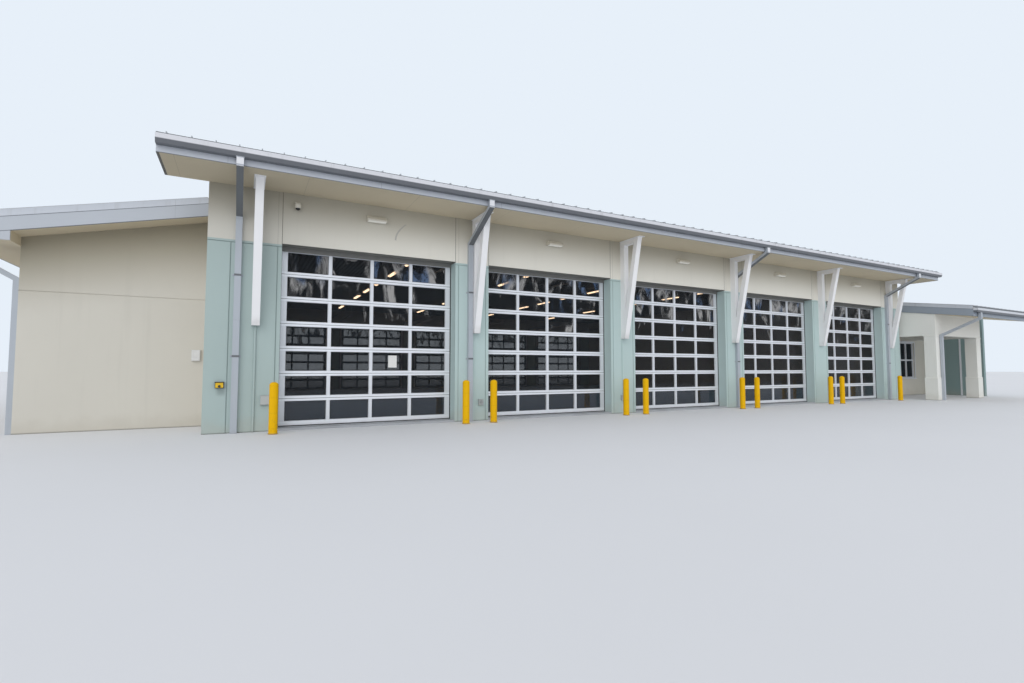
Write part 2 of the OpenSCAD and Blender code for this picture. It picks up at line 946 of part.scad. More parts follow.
// a small dome camera under an arm on a wall plate
module security_camera() {
    plate_t = camera_w / 4;
    dome_r = 0.52 * camera_w;
    reach = plate_t + 0.5 * camera_w;
    color([0.9, 0.9, 0.9])
        translate([door_x(0) + camera_in, yf, camera_z])
            union() {
                translate([-camera_w / 2, -plate_t, -camera_w / 2])
                    cube([camera_w, plate_t, 1.25 * camera_w]);
                translate([-0.3 * camera_w, -reach, 0])
                    cube([0.6 * camera_w, reach, 0.5 * camera_w]);
                translate([0, -reach, -0.6 * camera_w])
                    cylinder(h = 0.8 * camera_w, r1 = dome_r / 2, r2 = dome_r, $fn = round_sides);
            }
}

// a flat box on a wall: middle, wall face, bottom, width and height
module wall_plate(x, y, z, w, h) {
    translate([x - w / 2, y - plate_d, z])
        cube([w, plate_d, h]);
}

// call box, outlet cover, two hose boxes and the meter box on the left wing front
module wall_boxes() {
    color([0.8, 0.8, 0.75]) {
        wall_plate(xl + spout_in - call_in, yf, call_z, call_w, 0.76 * call_w);
        wall_plate(door_x(0) - cover_in, yf, cover_z, cover_w, 1.14 * cover_w);
        wall_plate(bracket_x(1) + hose_in, yf, hose_z, hose_w, 1.15 * hose_w);
        wall_plate(bracket_x(2) - hose_in / 3, yf, hose_z, hose_w, 1.15 * hose_w);
        wall_plate(xl - meter_in, yw, meter_z, meter_w, 1.48 * meter_w);
    }
}

module ceiling_lights() {
    color([0.95, 0.93, 0.85])
        for (i = [1 : bays - 1])
            for (k = [0 : lamp_count - 1])
                translate([(pier_l(i) + pier_r(i) - lamp_w) / 2,
                    (k - (lamp_count - 1) / 2) * lamp_pitch - lamp_l / 2, soffit_z - lamp_h])
                    cube([lamp_w, lamp_l, lamp_h]);
}

hall_floor();
front_piers();
front_door_headers();
rear_piers();
rear_door_headers();
hall_gable_walls();
hall_ceiling();
front_doors();
front_door_glass();
rear_doors();
rear_door_glass();
front_canopy();
rear_canopy();
front_roof();
rear_roof();
ridge_cap();
front_gutter();
rear_gutter();
front_downspouts();
rear_downspouts();
front_brackets();
rear_brackets();
left_wing_end_walls();
left_wing_side_wall();
left_wing_roof();
left_wing_rakes();
left_wing_eave();
wing_gutters();
wing_downspouts();
wing_floors();
right_wing_window_walls();
party_wall();
right_wing_roof();
right_wing_eaves();
wing_windows();
wing_window_glass();
porch_columns();
porch_beams();
porch_fascia();
porch_rakes();
bollards();
wall_lights();
ceiling_lights();
security_camera();
wall_boxes();
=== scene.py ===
import math

import bpy
import numpy as np
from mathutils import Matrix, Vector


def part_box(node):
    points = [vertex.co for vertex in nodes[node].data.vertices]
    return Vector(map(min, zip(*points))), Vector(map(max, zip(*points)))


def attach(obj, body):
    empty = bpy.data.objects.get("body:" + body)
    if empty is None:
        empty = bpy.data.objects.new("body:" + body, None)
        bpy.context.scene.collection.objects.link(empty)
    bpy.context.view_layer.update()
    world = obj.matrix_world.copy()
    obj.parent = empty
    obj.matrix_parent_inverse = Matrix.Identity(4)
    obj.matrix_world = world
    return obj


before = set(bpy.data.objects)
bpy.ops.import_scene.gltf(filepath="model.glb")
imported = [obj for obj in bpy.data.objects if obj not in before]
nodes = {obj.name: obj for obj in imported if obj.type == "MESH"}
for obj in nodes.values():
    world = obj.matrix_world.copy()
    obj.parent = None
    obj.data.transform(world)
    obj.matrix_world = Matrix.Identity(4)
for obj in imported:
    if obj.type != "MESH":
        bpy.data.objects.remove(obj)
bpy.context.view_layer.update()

# Sizes of the building that the finishes and small pieces are set out from, in metres.
X, Y, Z = np.eye(3)
BAYS = 5
DOOR_W, DOOR_H = 4.267, 4.28
BAY = 5.25
HALF_PIER = (BAY - DOOR_W) / 2
END_PIER = 1.48
BAND_Z = 4.255
SOFFIT_Z = 5.48
WALL_T, FLOOR_T, ROOF_T, BOARD_T = 0.35, 0.05, 0.1, 0.03
CANOPY_D, CANOPY_SIDE = 1.29, 0.805
EAVE_TOP, HALL_SLOPE = 5.86, 0.167
DRIP = 0.05
RIDGE_W = 0.26
GUTTER_D, GUTTER_FLAT, GUTTER_H, GUTTER_Z = 0.168, 0.132, 0.17, 5.62
LIP_START = 0.078
SPOUT_W, SPOUT_D = 0.13, 0.1
LEADER_Z, OUTLET_Z = 4.76, 5.426
BRACKET_W, BRACKET_Z, BRACKET_REACH = 0.165, 2.37, 0.845
WING_SLOPE, PORCH_SLOPE = 0.2273, 0.16
LEFT_TOP, PORCH_TOP = 5.505, 4.11
FASCIA_H = 0.44
LIGHT_Z = 5.05
EAVE_SOFFIT, EAVE_RETURN = 4.05, 0.18
COLUMN_W, COLUMN_H, COLUMN_PITCH = 0.45, 2.93, 3.98
COLUMN_BASE_H, COLUMN_BASE_OUT = 0.98, 0.02
SHEET_L, BOARD_L, CUT_PITCH, SEAM_PITCH = 3.05, 2.44, 4.88, 0.41

HALL_X1 = (2 * END_PIER + (BAYS - 1) * BAY + DOOR_W) / 2
HALL_X0 = -HALL_X1
CANOPY_X1 = HALL_X1 + CANOPY_SIDE
FRONT_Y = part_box("front_piers")[0].y
DOOR_Y = FRONT_Y + WALL_T
EAVE_Y = FRONT_Y - CANOPY_D
WING_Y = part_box("left_wing_end_walls")[0].y
WING_EAVE_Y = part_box("left_wing_roof")[0].y
LEFT_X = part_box("left_wing_side_wall")[0].x
LEFT_EAVE_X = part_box("left_wing_roof")[0].x
PARTY_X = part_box("party_wall")[1].x
PORCH_X0, PORCH_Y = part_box("porch_rakes")[0].x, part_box("porch_fascia")[0].y
PORCH_X1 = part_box("porch_rakes")[1].x
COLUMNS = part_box("porch_columns")
DOORS = HALL_X0 + END_PIER + BAY * np.arange(BAYS)
SPOUT_SIDE = BRACKET_W / 2 + SPOUT_W / 2 + 0.009
END_BRACKET, END_SPOUT = 0.505, 0.6
BRACKETS = np.array([
    DOORS[0] - END_BRACKET, DOORS[1] - HALF_PIER + SPOUT_SIDE / 2, DOORS[2] - HALF_PIER,
    DOORS[3] - HALF_PIER - SPOUT_SIDE / 2, DOORS[4] - HALF_PIER, DOORS[4] + DOOR_W + END_BRACKET,
])
SPOUTS = np.array([
    HALL_X0 + END_SPOUT, BRACKETS[1] - SPOUT_SIDE, BRACKETS[3] + SPOUT_SIDE, BRACKETS[5] - SPOUT_SIDE,
])

STILE_W, MULLION_W, RAIL_H, SECTION_H = 0.146, 0.075, 0.11, 0.588
DOOR_T, GLASS_T = 0.045, 0.008
COLS, ROWS = 4, 7
PANE_W = (DOOR_W - 2 * STILE_W - (COLS - 1) * MULLION_W) / COLS
PANE_STEP = PANE_W + MULLION_W
PANE_H = SECTION_H - RAIL_H
PANE_Z0 = FLOOR_T + 0.118
FIRST_JOINT = PANE_Z0 - RAIL_H / 2
CALL_X, COVER_X, METER_X = HALL_X0 + 0.313, DOORS[0] - 0.276, HALL_X0 - 0.267


# Heights of the roofs' tops: each rises evenly with the distance from its eave.
def hall_top(y):
    return EAVE_TOP + (y - EAVE_Y) * HALL_SLOPE


def left_top(x):
    return LEFT_TOP + (x - HALL_X0) * WING_SLOPE


def right_top(y):
    return PORCH_TOP + (y - PORCH_Y) * PORCH_SLOPE


LEFT_UNDER = left_top(LEFT_EAVE_X) - ROOF_T
PORCH_UNDER = right_top(PORCH_Y) - ROOF_T
REAR_UNDER = right_top(WING_EAVE_Y) - ROOF_T


# ---- finishes
def math_node(operation, reflected=False):
    """A method of Val that adds the Math node for an operation, with its two values swapped if reflected."""

    def method(self, *others):
        values = (*others, self) if reflected else (self, *others)
        return self.finish.node("Math", {"operation": operation}, dict(enumerate(values)))

    return method


class Val:
    """One number of a finish. Each operator on it adds the Math node for that sum."""

    __add__, __radd__ = math_node("ADD"), math_node("ADD", reflected=True)
    __sub__, __rsub__ = math_node("SUBTRACT"), math_node("SUBTRACT", reflected=True)
    __mul__, __rmul__ = math_node("MULTIPLY"), math_node("MULTIPLY", reflected=True)
    __truediv__, __mod__ = math_node("DIVIDE"), math_node("FLOORED_MODULO")
    __gt__, __lt__ = math_node("GREATER_THAN"), math_node("LESS_THAN")
    __abs__, floor, sine = math_node("ABSOLUTE"), math_node("FLOOR"), math_node("SINE")
    least, most = math_node("MINIMUM"), math_node("MAXIMUM")

    def __init__(self, finish, socket):
        self.finish, self.socket = finish, socket


class Nodes:
    """The node tree of a material or of the world: node() adds any node to it."""

    def __init__(self, owner):
        owner.use_nodes = True
        self.tree = owner.node_tree
        self.tree.nodes.clear()

    def node(self, kind, settings=None, values=None, out=0):
        made = self.tree.nodes.new("ShaderNode" + kind)
        for key, value in (settings or {}).items():
            setattr(made, key, value)
        for key, value in (values or {}).items():
            if isinstance(value, Val):
                self.tree.links.new(value.socket, made.inputs[key])
            else:
                made.inputs[key].default_value = value
        return None if out is None else Val(self, made.outputs[out])


class Finish(Nodes):
    """A material being mixed from its place on the building, which close() puts on the shader."""

    def __init__(self, name):
        self.material = bpy.data.materials.new(name)
        super().__init__(self.material)
        self.place = self.node("TexCoord", out="Object")
        self.x, self.y, self.z = (
            self.node("SeparateXYZ", {}, {0: self.place}, axis) for axis in range(3)
        )

    def noise(self, scale, detail=3.0, rough=0.5, stretch=None, at=None, bend=0.0):
        """Fractal noise from 0 to 1; stretch gives another scale for each axis, and bend warps it."""
        at = at or self.place
        if stretch:
            at = self.node("Mapping", {}, {"Vector": at, "Scale": stretch})
        values = {"Vector": at, "Scale": scale, "Detail": detail, "Roughness": rough, "Distortion": bend}
        return self.node("TexNoise", {}, values)

    def mixed(self, share, a, b):
        """Colour a where share is 0, b where it is 1."""
        return self.node("Mix", {"data_type": "RGBA"}, {0: share, 6: colour(a), 7: colour(b)}, 2)

    def layered(self, shaded, *layers):
        """A colour under layers, each given as its share and its colour."""
        for share, layer in layers:
            shaded = self.mixed(share, shaded, layer)
        return shaded

    def toned(self, a, tone):
        """Colour a times a grey tone."""
        grey = self.node("CombineColor", {}, {0: tone, 1: tone, 2: tone})
        settings = {"data_type": "RGBA", "blend_type": "MULTIPLY"}
        return self.node("Mix", settings, {0: 1.0, 6: colour(a), 7: grey}, 2)

    def between(self, value, low, high):
        """0 below low, 1 above high, and a smooth rise between them."""
        settings = {"interpolation_type": "SMOOTHSTEP"}
        return self.node("MapRange", settings, {0: value, 1: low, 2: high, 3: 0.0, 4: 1.0})

    def fading(self, value, low, high):
        """1 below low, 0 above high, and a smooth fall between them."""
        return 1.0 - self.between(value, low, high)

    def every(self, value, start, pitch, half):
        """1 within half of start, start + pitch, start + 2 pitch and so on, else 0."""
        return abs((value - start + pitch / 2) % pitch - pitch / 2) < half

    def close(self, shaded, rough, height=None, strength=0.0, distance=0.0, **more):
        """Puts a colour and a roughness on the shader, and for its normal the bump of a height, which
        distance turns into metres; more names other sockets."""
        values = {"Base Color": shaded, "Roughness": rough}
        if height:
            bump = {"Height": height, "Strength": strength, "Distance": distance}
            values["Normal"] = self.node("Bump", {}, bump)
        values |= {key.replace("_", " "): value for key, value in more.items()}
        surface = self.node("BsdfPrincipled", {}, values)
        self.node("OutputMaterial", {}, {0: surface}, None)
        return self.material


def colour(value):
    return value if isinstance(value, Val) else (*value, 1.0)


TEAL = (0.46, 0.575, 0.565)
CREAM = (0.75, 0.73, 0.66)
WING_CREAM = (0.61, 0.585, 0.52)
SOFFIT = (0.62, 0.54, 0.395)
EAVE_SHADE = (0.22, 0.185, 0.105)
PALE_METAL = (0.50, 0.53, 0.58)
ROOF_METAL = (0.50, 0.52, 0.55)
LAP_LINE = (0.16, 0.17, 0.18)
PAINTED_SHADE_DARK = (0.07, 0.08, 0.095)
LINE = (0.15, 0.14, 0.12)
DUST = (0.42, 0.38, 0.31)
GROOVE_IN, GROOVE_END, GROOVE_W, GROOVE_TOP = 0.09, 0.45, 0.02, 4.21
SCUFF_X, SCUFF_Z, SCUFF_H, SCUFF_BEND = 4.11, 4.67, 0.44, 0.27


def no_marks(f):
    return []


def wall_paint(name, body, low=None, gap=None, shade=0.6, reach=1.15, marks=no_marks):
    """Painted stucco. Height = fine sand grain + soft trowel waves. Colour = the paint, clouded by slow
    noise, faintly streaked downwards, with painted shade, warm and dark, within reach of the eave, which is
    gap(f) above, and dusty in the last 0.4 m over the ground; the last 3 cm at the foot carry a dark line
    that is partly sealant and partly painted shadow. With low, the paint changes to that colour under the
    band line. marks(f) lists lines, stains and painted shade, each as a share and its colour."""
    f = Finish(name)
    grain = f.noise(140.0, 4.0, 0.65)
    waves = f.noise(1.3, 3.0)
    clouds = f.noise(0.55, 4.0, 0.6)
    streaks = f.noise(1.0, 4.0, 0.6, stretch=(5.0, 5.0, 0.22))
    dust = f.fading(f.z + (f.noise(3.0) - 0.5) * 0.5, 0.02, 0.42)
    paint = f.mixed(f.z < BAND_Z, body, low) if low else body
    shaded = f.toned(paint, 0.96 + 0.09 * clouds - 0.035 * f.between(streaks, 0.52, 0.78))
    if gap:
        # painted shade: warm and dark near the eave
        shaded = f.mixed(f.fading(gap(f), 0.0, reach) * shade, shaded, EAVE_SHADE)
    # dark line at the foot: partly sealant, partly painted shadow
    foot = f.fading(f.z, 0.008, 0.03)
    shaded = f.layered(shaded, *marks(f), (dust * 0.25, DUST), (foot * 0.6, (0.12, 0.115, 0.10)))
    return f.close(shaded, 0.78 + 0.14 * grain, 0.25 * grain + waves, 0.35, 0.006)


def doorway_side(f):
    """Distance from the middle of the nearest doorway, along X."""
    return abs((abs(f.x) + BAY / 2) % BAY - BAY / 2)


def joint_lines(f):
    """Fine dark joints in the header, one up from each edge of a doorway and one in line with each groove."""
    side = doorway_side(f)
    above = (f.z > BAND_Z) * (abs(f.x) < HALL_X1 - END_PIER + GROOVE_IN + 0.02)
    edge = (abs(side - DOOR_W / 2) < 0.007) * above
    inner = (abs(side - DOOR_W / 2 - GROOVE_IN) < 0.005) * above
    return [(edge * 0.85, LINE), (inner * 0.35, LINE)]


def left_end_shade(f):
    """The left end is darker than the rest as painted shade: a share that falls off along the first bay."""
    return (f.fading(f.x, HALL_X0 + 0.8, HALL_X0 + 4.5) * 0.22, (0.16, 0.15, 0.12))


def pier_marks(f):
    """The joints, painted shade at the left end and in each groove, and a painted shadow under the call box.
    """
    half = GROOVE_W * 0.55
    recess = (abs(f.y) < -FRONT_Y - 0.005) * (abs(f.y) > -FRONT_Y - 0.014)
    upright = (abs(doorway_side(f) - DOOR_W / 2 - GROOVE_IN) < half).most(
        abs(abs(f.x) - HALL_X1 + GROOVE_END) < half)
    level = abs(f.z - GROOVE_TOP + GROOVE_W / 2) < half
    # painted shade in the recess of each groove
    groove = recess * upright.most(level) * (f.z < GROOVE_TOP + 0.002)
    # painted shadow under the call box
    call_box_shadow = f.fading(abs(f.x - (CALL_X + 0.03)), 0.02, 0.13) * f.fading(abs(f.z - 0.90), 0.01, 0.13)
    return [
        left_end_shade(f), *joint_lines(f), (groove * 0.38, (0.07, 0.10, 0.10)),
        (call_box_shadow * (f.y < FRONT_Y + 0.02) * 0.4, (0.10, 0.12, 0.12)),
    ]


def header_marks(f):
    """The joints, painted shade at the left end and on the underside over each doorway, and one curved scuff
    on the first header, where x grows with the square of the height."""
    # painted shade on the underside of the lintel over each doorway
    under = (f.z < DOOR_H + 0.004) * (abs(f.y) < -FRONT_Y - 0.010)
    rise = (f.z - SCUFF_Z) * (1.0 / SCUFF_H)
    arc = abs(f.x - HALL_X0 - SCUFF_X - rise * rise * SCUFF_BEND) < 0.014 + 0.016 * f.noise(9.0)
    scuff = arc * (rise > 0.0) * (rise < 1.0) * (f.y < FRONT_Y + 0.02)
    return [
        left_end_shade(f), *joint_lines(f), (under * 0.9, (0.165, 0.165, 0.155)),
        (scuff * 0.6, (0.33, 0.33, 0.32)),
    ]


def canopy_paint():
    """Soffit boards under the canopy with a butt joint every 2.44 m, and pale metal on the outer faces:
    the fascia is where |y| is past the eave, the end boards where |x| is past the last soffit board. The
    bottom edges of both are darkened as painted shade, and the boards carry painted shade at the left end."""
    f = Finish("canopy boards")
    grain = f.noise(90.0, 3.0)
    clouds = f.noise(0.8, 4.0, 0.6)
    joint = f.every(f.x, 0.0, BOARD_L, 0.004) * (abs(f.y) < -EAVE_Y - 0.01)
    board = f.layered(
        f.toned(SOFFIT, 0.93 + 0.14 * clouds), (joint * 0.4, (0.2, 0.18, 0.14)), left_end_shade(f))
    outer = (abs(f.y) > -EAVE_Y - 0.002).most(abs(f.x) > CANOPY_X1 - 0.002)
    # painted shade along the bottom edge of the fascia and end boards
    low = f.fading(f.z, SOFFIT_Z + 0.006, SOFFIT_Z + 0.022)
    lap = f.every(f.x, 1.52, SHEET_L, 0.003)
    metal = f.layered(
        f.toned(PALE_METAL, 0.92 + 0.12 * f.noise(2.0, 3.0, stretch=(0.4, 1.0, 3.0))),
        (low * 0.9, PAINTED_SHADE_DARK), (lap * outer * 0.7, (0.18, 0.19, 0.21)))
    # painted shade along the bottom edge at both ends
    rim = (abs(f.x) > CANOPY_X1 - 0.05) * (f.z < SOFFIT_Z + 0.003)
    shaded = f.layered(board, (outer, metal), (rim * 0.85, PAINTED_SHADE_DARK))
    return f.close(shaded, 0.8 - 0.38 * outer, 0.3 * grain + 0.5 * clouds, 0.2, 0.004)


def eave_paint(name, metal, inner, depth):
    """Boards of a wing eave. Outside they are painted metal with painted shade lines under the roof trim and
    along the bottom edge, at set depths under the roof's top; where inner(f) is 1 they are soffit board."""
    f = Finish(name)
    clouds = f.noise(0.9, 3.0, 0.6)
    down = depth(f)
    # painted shade lines under the roof trim and along the bottom edge
    line = (abs(down - 0.130) < 0.009).most(down > FASCIA_H - 0.012) * (down < FASCIA_H + 0.004)
    lap = f.every(f.x, 0.4, SHEET_L, 0.0025)
    face = f.layered(f.toned(metal, 0.93 + 0.12 * clouds), (line * 0.75, PAINTED_SHADE_DARK), (lap * 0.4, LAP_LINE))
    inside = inner(f)
    shaded = f.mixed(inside, face, f.toned(SOFFIT, 0.93 + 0.14 * clouds))
    return f.close(shaded, 0.42 + 0.36 * inside, clouds, 0.2, 0.006)


def sheet_metal(name, body, rough=0.38, metallic=0.0, lap=SHEET_L, dirt=0.25, marks=no_marks):
    """Painted sheet metal. Height = slow waves of thin sheet. Colour = the paint with faint runs of dirt
    and a dark lap line every few metres along x and y. marks(f) lists painted shade and painted highlights,
    each a share and a colour."""
    f = Finish(name)
    waves = f.noise(1.1, 2.0, 0.4)
    runs = f.noise(1.0, 4.0, 0.6, stretch=(7.0, 7.0, 0.5))
    speck = f.noise(60.0, 3.0, 0.6)
    shaded = f.mixed(f.between(runs, 0.5, 0.8) * dirt, f.toned(body, 0.93 + 0.12 * waves), (0.25, 0.25, 0.24))
    if lap:
        line = f.every(f.x, 0.4, lap, 0.0025).most(f.every(f.y, 0.9, lap, 0.0025))
        shaded = f.mixed(line * 0.5, shaded, LAP_LINE)
    shaded = f.layered(shaded, *marks(f))
    return f.close(shaded, rough + 0.12 * speck, waves + 0.02 * speck, 0.25, 0.01, Metallic=metallic)


def belly_shade(f, bottom):
    """Painted shade on the underside of a gutter whose bottom is at that height, up to where its front lip
    starts.
    """
    return [(f.fading(f.z - bottom, LIP_START - 0.008, LIP_START + 0.016) * 0.88, PAINTED_SHADE_DARK)]


def hall_belly_shades(f):
    return belly_shade(f, GUTTER_Z)


def wing_belly_shades(f):
    """The same for the three wing gutters, told apart by where they are."""
    right = (f.x > 0.0) * (PORCH_UNDER * (f.y < 0.0) + REAR_UNDER * (f.y > 0.0))
    return belly_shade(f, LEFT_UNDER * (f.x < 0.0) + right - GUTTER_H - 0.004)


def leader_shade_and_highlight(f):
    """Painted shade on the underside of each sloping hall leader, which rises evenly with the distance from
    the wall, and a painted highlight on the front face of the outlet over it."""
    out = abs(f.y) + FRONT_Y - SPOUT_D
    reach = CANOPY_D + GUTTER_FLAT - SPOUT_D
    over = f.z - LEADER_Z - out * ((OUTLET_Z - LEADER_Z) / reach)
    hall = abs(f.x) < HALL_X1
    # painted shade under the leader and painted highlight on the outlet's front face
    under = (out > 0.004) * (over < 0.012) * hall
    face = (out > reach - 0.004) * (f.z > OUTLET_Z + 0.004) * hall
    return [(under * 0.85, (0.09, 0.095, 0.10)), (face, (0.72, 0.73, 0.76))]


def roof_metal(name, across, down, depth):
    """Standing-seam sheet. Pans have three low stiffening ridges: height = the peaks of a wave along the
    axis across the slope. Paint is pale grey, chalked by noise and streaked along the axis down the slope.
    The underside, which lies most of the roof's thickness below its top, is painted board."""
    f = Finish(name)
    ridges = (((f.x, f.y)[across] * (2 * math.pi / (SEAM_PITCH / 4))).sine() - 0.8).most(0.0)
    stretch = [1.0, 1.0, 1.0]
    stretch[across], stretch[down] = 6.0, 0.35
    runs = f.noise(1.0, 5.0, 0.65, stretch=stretch)
    chalk = f.noise(0.9, 4.0)
    below = depth(f) > ROOF_T * 0.85
    shaded = f.layered(
        f.toned(ROOF_METAL, 0.86 + 0.2 * chalk), (f.between(runs, 0.5, 0.8) * 0.35, (0.30, 0.29, 0.27)),
        (below, f.toned(SOFFIT, 0.95 + 0.1 * chalk)))
    height = ridges * (1.0 - below) * 1.2 + f.noise(1.5, 2.0) * 0.5
    return f.close(shaded, 0.36 + 0.2 * chalk, height, 0.5, 0.006, Metallic=(1.0 - below) * 0.25)


def door_metal():
    """Satin anodised aluminium. Fine brushed lines run level (noise stretched along x), the face is a little
    uneven in tone with a painted highlight on the rails, and grime lies in the section joints and along the
    bottom rail."""
    f = Finish("anodised door frames")
    brushed = f.noise(1.0, 3.0, 0.6, stretch=(3.0, 60.0, 500.0))
    # painted highlight on the rails
    rail_highlight = f.every(f.z, FIRST_JOINT, SECTION_H, RAIL_H / 2)
    joint = f.every(f.z, FIRST_JOINT, SECTION_H, 0.007) * (f.z > 0.3)
    grime = f.fading(f.z, FLOOR_T, 0.16) * f.noise(6.0, 4.0)
    shaded = f.layered(
        f.toned((0.74, 0.76, 0.80), 0.91 + 0.08 * f.noise(0.8, 3.0) + 0.04 * brushed + 0.13 * rail_highlight),
        (joint * 0.75, (0.10, 0.105, 0.11)), (grime * 0.5, (0.28, 0.26, 0.23)))
    return f.close(shaded, 0.42 + 0.14 * brushed, brushed, 0.08, 0.001, Metallic=0.35)


def tinted_glass(name, alpha, sky_reflection=0.0):
    """Dark tinted glass. It bows a little (slow noise in the normal) and carries dust. Its lowest 0.6 m has a
    bright coat, in which the floor and the bollards show. With a painted sky reflection asked for, that part
    is hazy too, and a painted reflection of pale cloud and blue sky lies on the upper three rows of panes:
    upright warped noise, read at another place for each pane, so that it breaks off at the bars."""
    f = Finish(name)
    dust = f.noise(2.5, 4.0, 0.6)
    tone = 0.8 + 0.4 * dust
    shaded = f.toned((0.016, 0.020, 0.025), tone)
    clear = alpha + 0.06 * dust
    low = f.fading(f.z, 0.62, 0.95)
    if sky_reflection:
        column = ((f.x - (DOORS[0] + STILE_W - MULLION_W / 2)) % BAY / PANE_STEP).floor()
        bay = ((f.x - DOORS[0]) * (1.0 / BAY)).floor()
        row = ((f.z - FIRST_JOINT) * (1.0 / SECTION_H)).floor()
        own = column * 0.31 + row * 0.83 + bay * 1.7
        at = f.node("CombineXYZ", {}, {0: f.x * 1.9 + own, 1: own * 2.3, 2: f.z * 0.8})
        cloud = f.noise(1.0, 6.0, 0.68, at=at, bend=1.1) + 0.10 * f.between(f.z, 2.4, 4.1)
        # painted reflection of cloud and blue sky on the upper rows of panes
        cloud_reflection = f.between(cloud, 0.57, 0.72) * f.between(f.z, 2.40, 2.46)
        blue_sky = f.between(f.noise(0.55, 2.0, at=at), 0.54, 0.60)
        shaded = f.layered(
            shaded, (low, f.toned((0.020, 0.031, 0.046), tone)),
            (cloud_reflection * sky_reflection, f.mixed(blue_sky, (0.44, 0.43, 0.42), (0.12, 0.18, 0.30))))
        clear = clear + low * (0.66 - alpha) + cloud_reflection * (0.9 - alpha)
    return f.close(
        shaded, 0.04 + 0.05 * dust, f.noise(1.1, 2.0, 0.4), 0.25, 0.01, Alpha=clear, Specular_IOR_Level=0.12,
        Coat_Weight=low * 0.6, Coat_IOR=1.9, Coat_Roughness=0.03,
    )


def painted_steel(name, body, rust=0.25, foot=None):
    """Brush-painted steel: soft brush marks along z in the height, small rust stains in scattered spots and
    runs below them. With foot, grime lies in the 0.25 m over that height."""
    f = Finish(name)
    brush = f.noise(1.0, 3.0, 0.6, stretch=(70.0, 70.0, 2.0))
    stain = f.between(f.noise(1.0, 4.0, 0.7, stretch=(9.0, 9.0, 1.1)), 0.62, 0.78)
    shaded = f.mixed(stain * rust, f.toned(body, 0.95 + 0.08 * f.noise(1.2, 3.0)), (0.36, 0.24, 0.15))
    if foot:
        grime = f.fading(f.z, foot, foot + 0.25) * f.noise(8.0, 4.0)
        shaded = f.mixed(grime * 0.5, shaded, (0.35, 0.33, 0.30))
    return f.close(shaded, 0.36 + 0.2 * brush, brush, 0.12, 0.002)


def bollard_paint():
    """Yellow sleeve. Height = a shallow ring every 0.33 m, which also carries a little painted shade. Scuffs
    gather low down and dirt lies at the foot; the colour fades a little in upright streaks."""
    f = Finish("yellow bollard sleeve")
    ring = f.every(f.z, 0.12, 0.33, 0.012)
    fade = f.noise(1.0, 3.0, 0.6, stretch=(12.0, 12.0, 0.8))
    scuff = f.between(f.noise(14.0, 5.0, 0.7), 0.56, 0.7) * f.fading(f.z, 0.05, 0.75)
    # the darker colour on each ring is painted shade
    shaded = f.layered(
        f.toned((0.80, 0.45, 0.0), 0.92 + 0.12 * fade), (scuff * 0.55, (0.22, 0.17, 0.07)),
        (ring * 0.12, (0.45, 0.27, 0.01)), (f.fading(f.z, 0.0, 0.05) * 0.6, (0.25, 0.2, 0.12)))
    return f.close(shaded, 0.4 + 0.25 * fade, ring + fade * 0.3, 0.5, 0.004, Specular_IOR_Level=0.15)


def slab():
    """Power-floated concrete: clouds, fine pits, tyre-darkened lanes behind each doorway and saw cuts that
    follow the bays."""
    f = Finish("floated slab")
    clouds = f.noise(0.7, 5.0, 0.6)
    pits = f.noise(60.0, 3.0, 0.7)
    lane = abs(abs((f.x + BAY / 2) % BAY - BAY / 2) - 1.0)
    tyre = f.fading(lane, 0.12, 0.35) * f.noise(1.0, 4.0, 0.6, stretch=(5.0, 0.5, 1.0))
    cut = f.every(f.x, BAY / 2, BAY, 0.004).most(f.every(f.y, 0.0, CUT_PITCH, 0.004))
    shaded = f.layered(
        f.toned((0.37, 0.385, 0.41), 0.82 + 0.34 * clouds), (tyre * 0.35, (0.13, 0.13, 0.13)),
        (cut * 0.8, (0.08, 0.08, 0.08)))
    return f.close(shaded, 0.55 + 0.25 * pits, pits + clouds - 2.0 * cut, 0.3, 0.003)


def deck():
    """Dark painted steel deck under the hall roof: height = a trapezoid wave along x, ribs 0.15 m apart."""
    f = Finish("dark roof deck")
    rib = ((f.x * (2 * math.pi / 0.15)).sine() * 2.5).most(-1.0).least(1.0)
    cloud = f.noise(0.7, 4.0)
    return f.close(f.toned((0.10, 0.10, 0.098), 0.85 + 0.3 * cloud), 0.6 + 0.1 * cloud, rib, 0.8, 0.01)


def plastic(name, body, rough=0.4, glow=None):
    """Moulded plastic with a fine spark-eroded grain and slow fading."""
    f = Finish(name)
    grain = f.noise(300.0, 2.0)
    fade = f.noise(5.0, 3.0)
    more = {"Emission_Color": f.toned(glow, 0.9 + 0.2 * fade), "Emission_Strength": 1.0} if glow else {}
    return f.close(f.toned(body, 0.92 + 0.14 * fade), rough + 0.1 * grain, grain, 0.1, 0.0006, **more)


def box_shades():
    """Small wall boxes, told apart by where they stand: a black call box, grey outlet and hose boxes and a
    pale meter box."""
    f = Finish("small wall boxes")
    grain = f.noise(250.0, 2.0)
    call_box, meter_box = abs(f.x - CALL_X) < 0.12, f.x < HALL_X0
    shade = f.layered((0.40, 0.43, 0.43), (call_box, (0.018, 0.018, 0.020)), (meter_box, (0.66, 0.66, 0.65)))
    return f.close(f.toned(shade, 0.9 + 0.15 * f.noise(6.0)), 0.42 + 0.12 * grain, grain, 0.1, 0.0005)


